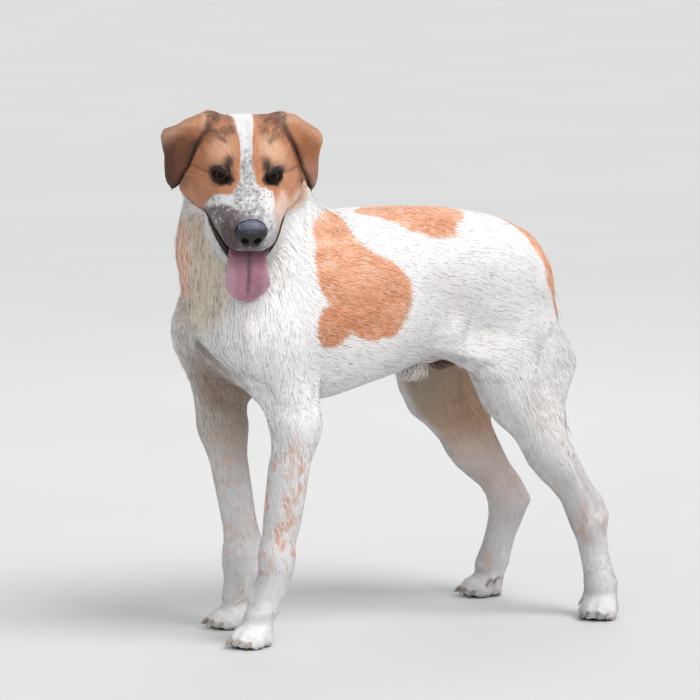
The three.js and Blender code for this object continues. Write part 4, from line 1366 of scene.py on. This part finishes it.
def fine_copy(node_name, voxel, rounds):
    """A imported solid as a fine, eased mesh, and its places."""
    mesh = with_modifier(joined_solids([node_name]), "REMESH", mode="VOXEL", voxel_size=voxel)
    co = eased(places(mesh), edge_ends(mesh), rounds)
    place(mesh, co)
    return mesh, co


def nose_piece():
    """The pad: nostrils with a slit to each side, a groove down the middle and a pebbled skin."""
    mesh, co = fine_copy("nose", 0.0012, 8)
    n = normals(mesh) @ HEAD_AXES.T
    h = in_head(co)
    s, f, u = h.T                                        # these follow h as it is carved

    def nostril(k):
        return np.hypot((s - k * 8.5) / 5.4, (u + 33) / 4.2)

    for k in (-1, 1):
        h[:, 1] -= 8.5 * rise(1.25, 0.45, nostril(k)) * (f > 100)
        slit = distance_to_line(h * [1, 0, 1], [(k * 11, 0, -35), (k * 16, 0, -37.5),
                                                (k * 20, 0, -35)], 20)
        h -= n * (3.2 * np.exp(-(slit / 2.0) ** 2))[:, None]
    h -= n * (2.0 * np.exp(-(s / 1.3) ** 2) * rise(-25, -34, u))[:, None]
    # how far inside a nostril, where painted shade goes
    deep = np.maximum(*(rise(1.25, 0.6, nostril(k)) for k in (-1, 1)))
    h[:, 2] -= 0.34 * np.clip(-27 - h[:, 2], 0, 30)
    place(mesh, from_head(h))
    tint = all_over(NOSE_BLACK, h) * (1 + 0.2 * ripple(co, 0.004, 51))[:, None]
    # painted sheen where the pad faces up, and painted shade in the nostrils
    tint = painted(tint, (NOSE_PAINTED_SHEEN, 0.9 * rise(0.35, 0.95, n[:, 2])), (NOSTRIL_SHADE, deep))
    colour_layer(mesh, "tint", tint)
    m, nodes, links, shader = material("nose_leather", Roughness=0.45, Coat_Weight=0.2,
                                       Coat_Roughness=0.3, Specular_IOR_Level=0.4)
    own = node(nodes, "ShaderNodeAttribute", attribute_name="tint")
    where = nodes.new("ShaderNodeTexCoord")
    pebble = node(nodes, "ShaderNodeTexVoronoi", Scale=750.0)
    links.new(where.outputs["Object"], pebble.inputs["Vector"])
    raised = node(nodes, "ShaderNodeBump", Strength=0.55, Distance=0.0006, invert=True)
    links.new(pebble.outputs["Distance"], raised.inputs["Height"])
    links.new(raised.outputs["Normal"], shader.inputs["Normal"])
    links.new(own.outputs["Color"], shader.inputs["Base Color"])
    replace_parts(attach(as_object("nose_pad", mesh, m), "root"), "nose")


def tongue_piece():
    """Grooved down the middle, its edges lifted, with a fine nap on top."""
    mesh, co = fine_copy("tongue", 0.0015, 8)
    n = normals(mesh) @ HEAD_AXES.T
    h = in_head(co)
    s, f, u = h.T
    middle = np.interp(f, [30, 90, 125], [0, 2, 3])
    top = rise(0.1, 0.7, n[:, 1] * 0.55 + n[:, 2] * 0.8)
    h = h - n * (3.0 * np.exp(-((s - middle) / 2.6) ** 2) * top)[:, None]
    h = h + n * (1.6 * rise(12, 22, np.abs(s - middle)) * top)[:, None]
    h = h + n * (0.9 * ripple(co, 0.010, 52) * rise(6, 14, np.abs(s)))[:, None]
    wider = 1 + 0.16 * rise(-112, -84, u) + 0.03 * ripple(co, 0.016, 56)
    h[:, 0] = middle + (h[:, 0] - middle) * wider
    h[:, 2] -= 4.5 * (1 - ((s - middle) / 21) ** 2) * rise(-112, -128, u)
    place(mesh, from_head(h))
    mottle = 1 + 0.16 * ripple(co, 0.006, 53) + 0.1 * ripple(co, 0.014, 57)
    colour_layer(mesh, "tint", painted(
        all_over(TONGUE_PINK, h) * mottle[:, None],
        (TONGUE_EDGE, 0.5 * rise(14, 24, np.abs(s - middle))),
        # painted shade under the upper lip, down the middle groove and back in the mouth
        (TONGUE_SHADE, 0.75 * rise(-96, -80, u)),
        (TONGUE_GROOVE_SHADE, 0.9 * np.exp(-((s - middle) / 2.2) ** 2) * top),
        (TONGUE_ROOT_SHADE, rise(86, 60, f))))
    m, nodes, links, shader = material("tongue", Roughness=0.36, Coat_Weight=0.55,
                                       Coat_Roughness=0.16, Subsurface_Weight=0.15,
                                       Subsurface_Scale=0.002)
    own = node(nodes, "ShaderNodeAttribute", attribute_name="tint")
    grained(nodes, links, shader, own.outputs["Color"], 1100, 0.14, 0.8, 0.0010)
    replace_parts(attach(as_object("tongue_soft", mesh, m), "root"), "tongue")


def lip_roll(points, radii, name):
    """A rounded, tapering roll of lip along points in the head's frame."""
    curve = bpy.data.curves.new(name, "CURVE")
    curve.dimensions, curve.bevel_depth, curve.bevel_resolution = "3D", MM, 3
    curve.use_fill_caps = True
    line = curve.splines.new("POLY")
    line.points.add(len(points) - 1)
    for point, at, r in zip(line.points, from_head(points), radii):
        point.co, point.radius = (*at, 1), r
    mesh = made_real(bpy.data.objects.new(name, curve))
    colour_layer(mesh, "tint", all_over(DARK, mesh.vertices))
    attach(as_object(name, mesh, LIP), "root")


def lip_pieces():
    """An upper and a lower lip on each side, knobbed along their length."""
    t = np.linspace(0, 1, LIP_POINTS)
    knobs = 1 + 0.16 * np.sin(t * 75) * rise(0.15, 0.4, t)
    for k, side in ((-1, "right"), (1, "left")):
        line = line_through(MOUTH[k], LIP_POINTS)
        slope = 1.25 - 0.4 * t if k > 0 else 1.0
        for name, apart, thick, inward in (("upper", 3.2, 1.8, 2.2), ("lower", -3.4, 1.7, 2.8)):
            shift = np.zeros((LIP_POINTS, 3)) + [-k * inward, 0.4, 0]
            shift[:, 2] = apart * rise(0, 0.12, t)
            radii = thick * slope * knobs * rise(-0.15, 0.12, t) * (1 - 0.9 * rise(0.72, 0.95, t))
            lip_roll(line + shift, radii, f"lip_{name}_{side}")


def claw_pieces():
    """Brown horn over each foot's claws, blackest on the left hind foot, pale on the dewclaws."""
    for foot in ("fore_left", "fore_right", "hind_left", "hind_right"):
        nodes_here = sorted(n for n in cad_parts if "claw_" + foot in n)
        mesh = with_modifier(joined_solids(nodes_here), "SUBSURF", levels=1, render_levels=1)
        co = places(mesh)
        black = 1.0 if foot == "hind_left" else 0.35
        colour_layer(mesh, "tint", painted(
            all_over(HORN_BROWN, co),
            (DARK * 1.5, black * rise(0.3, 0.75, ripple(co, 0.03, 54) * 0.5 + 0.5)),
            (HORN_PALE, 0.75 * rise(0.028, 0.04, co[:, 2]))))
        horn = as_object("horn_" + foot, mesh, HORN)
        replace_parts(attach(horn, "root"), *nodes_here)


nose_piece()
tongue_piece()
lip_pieces()
claw_pieces()
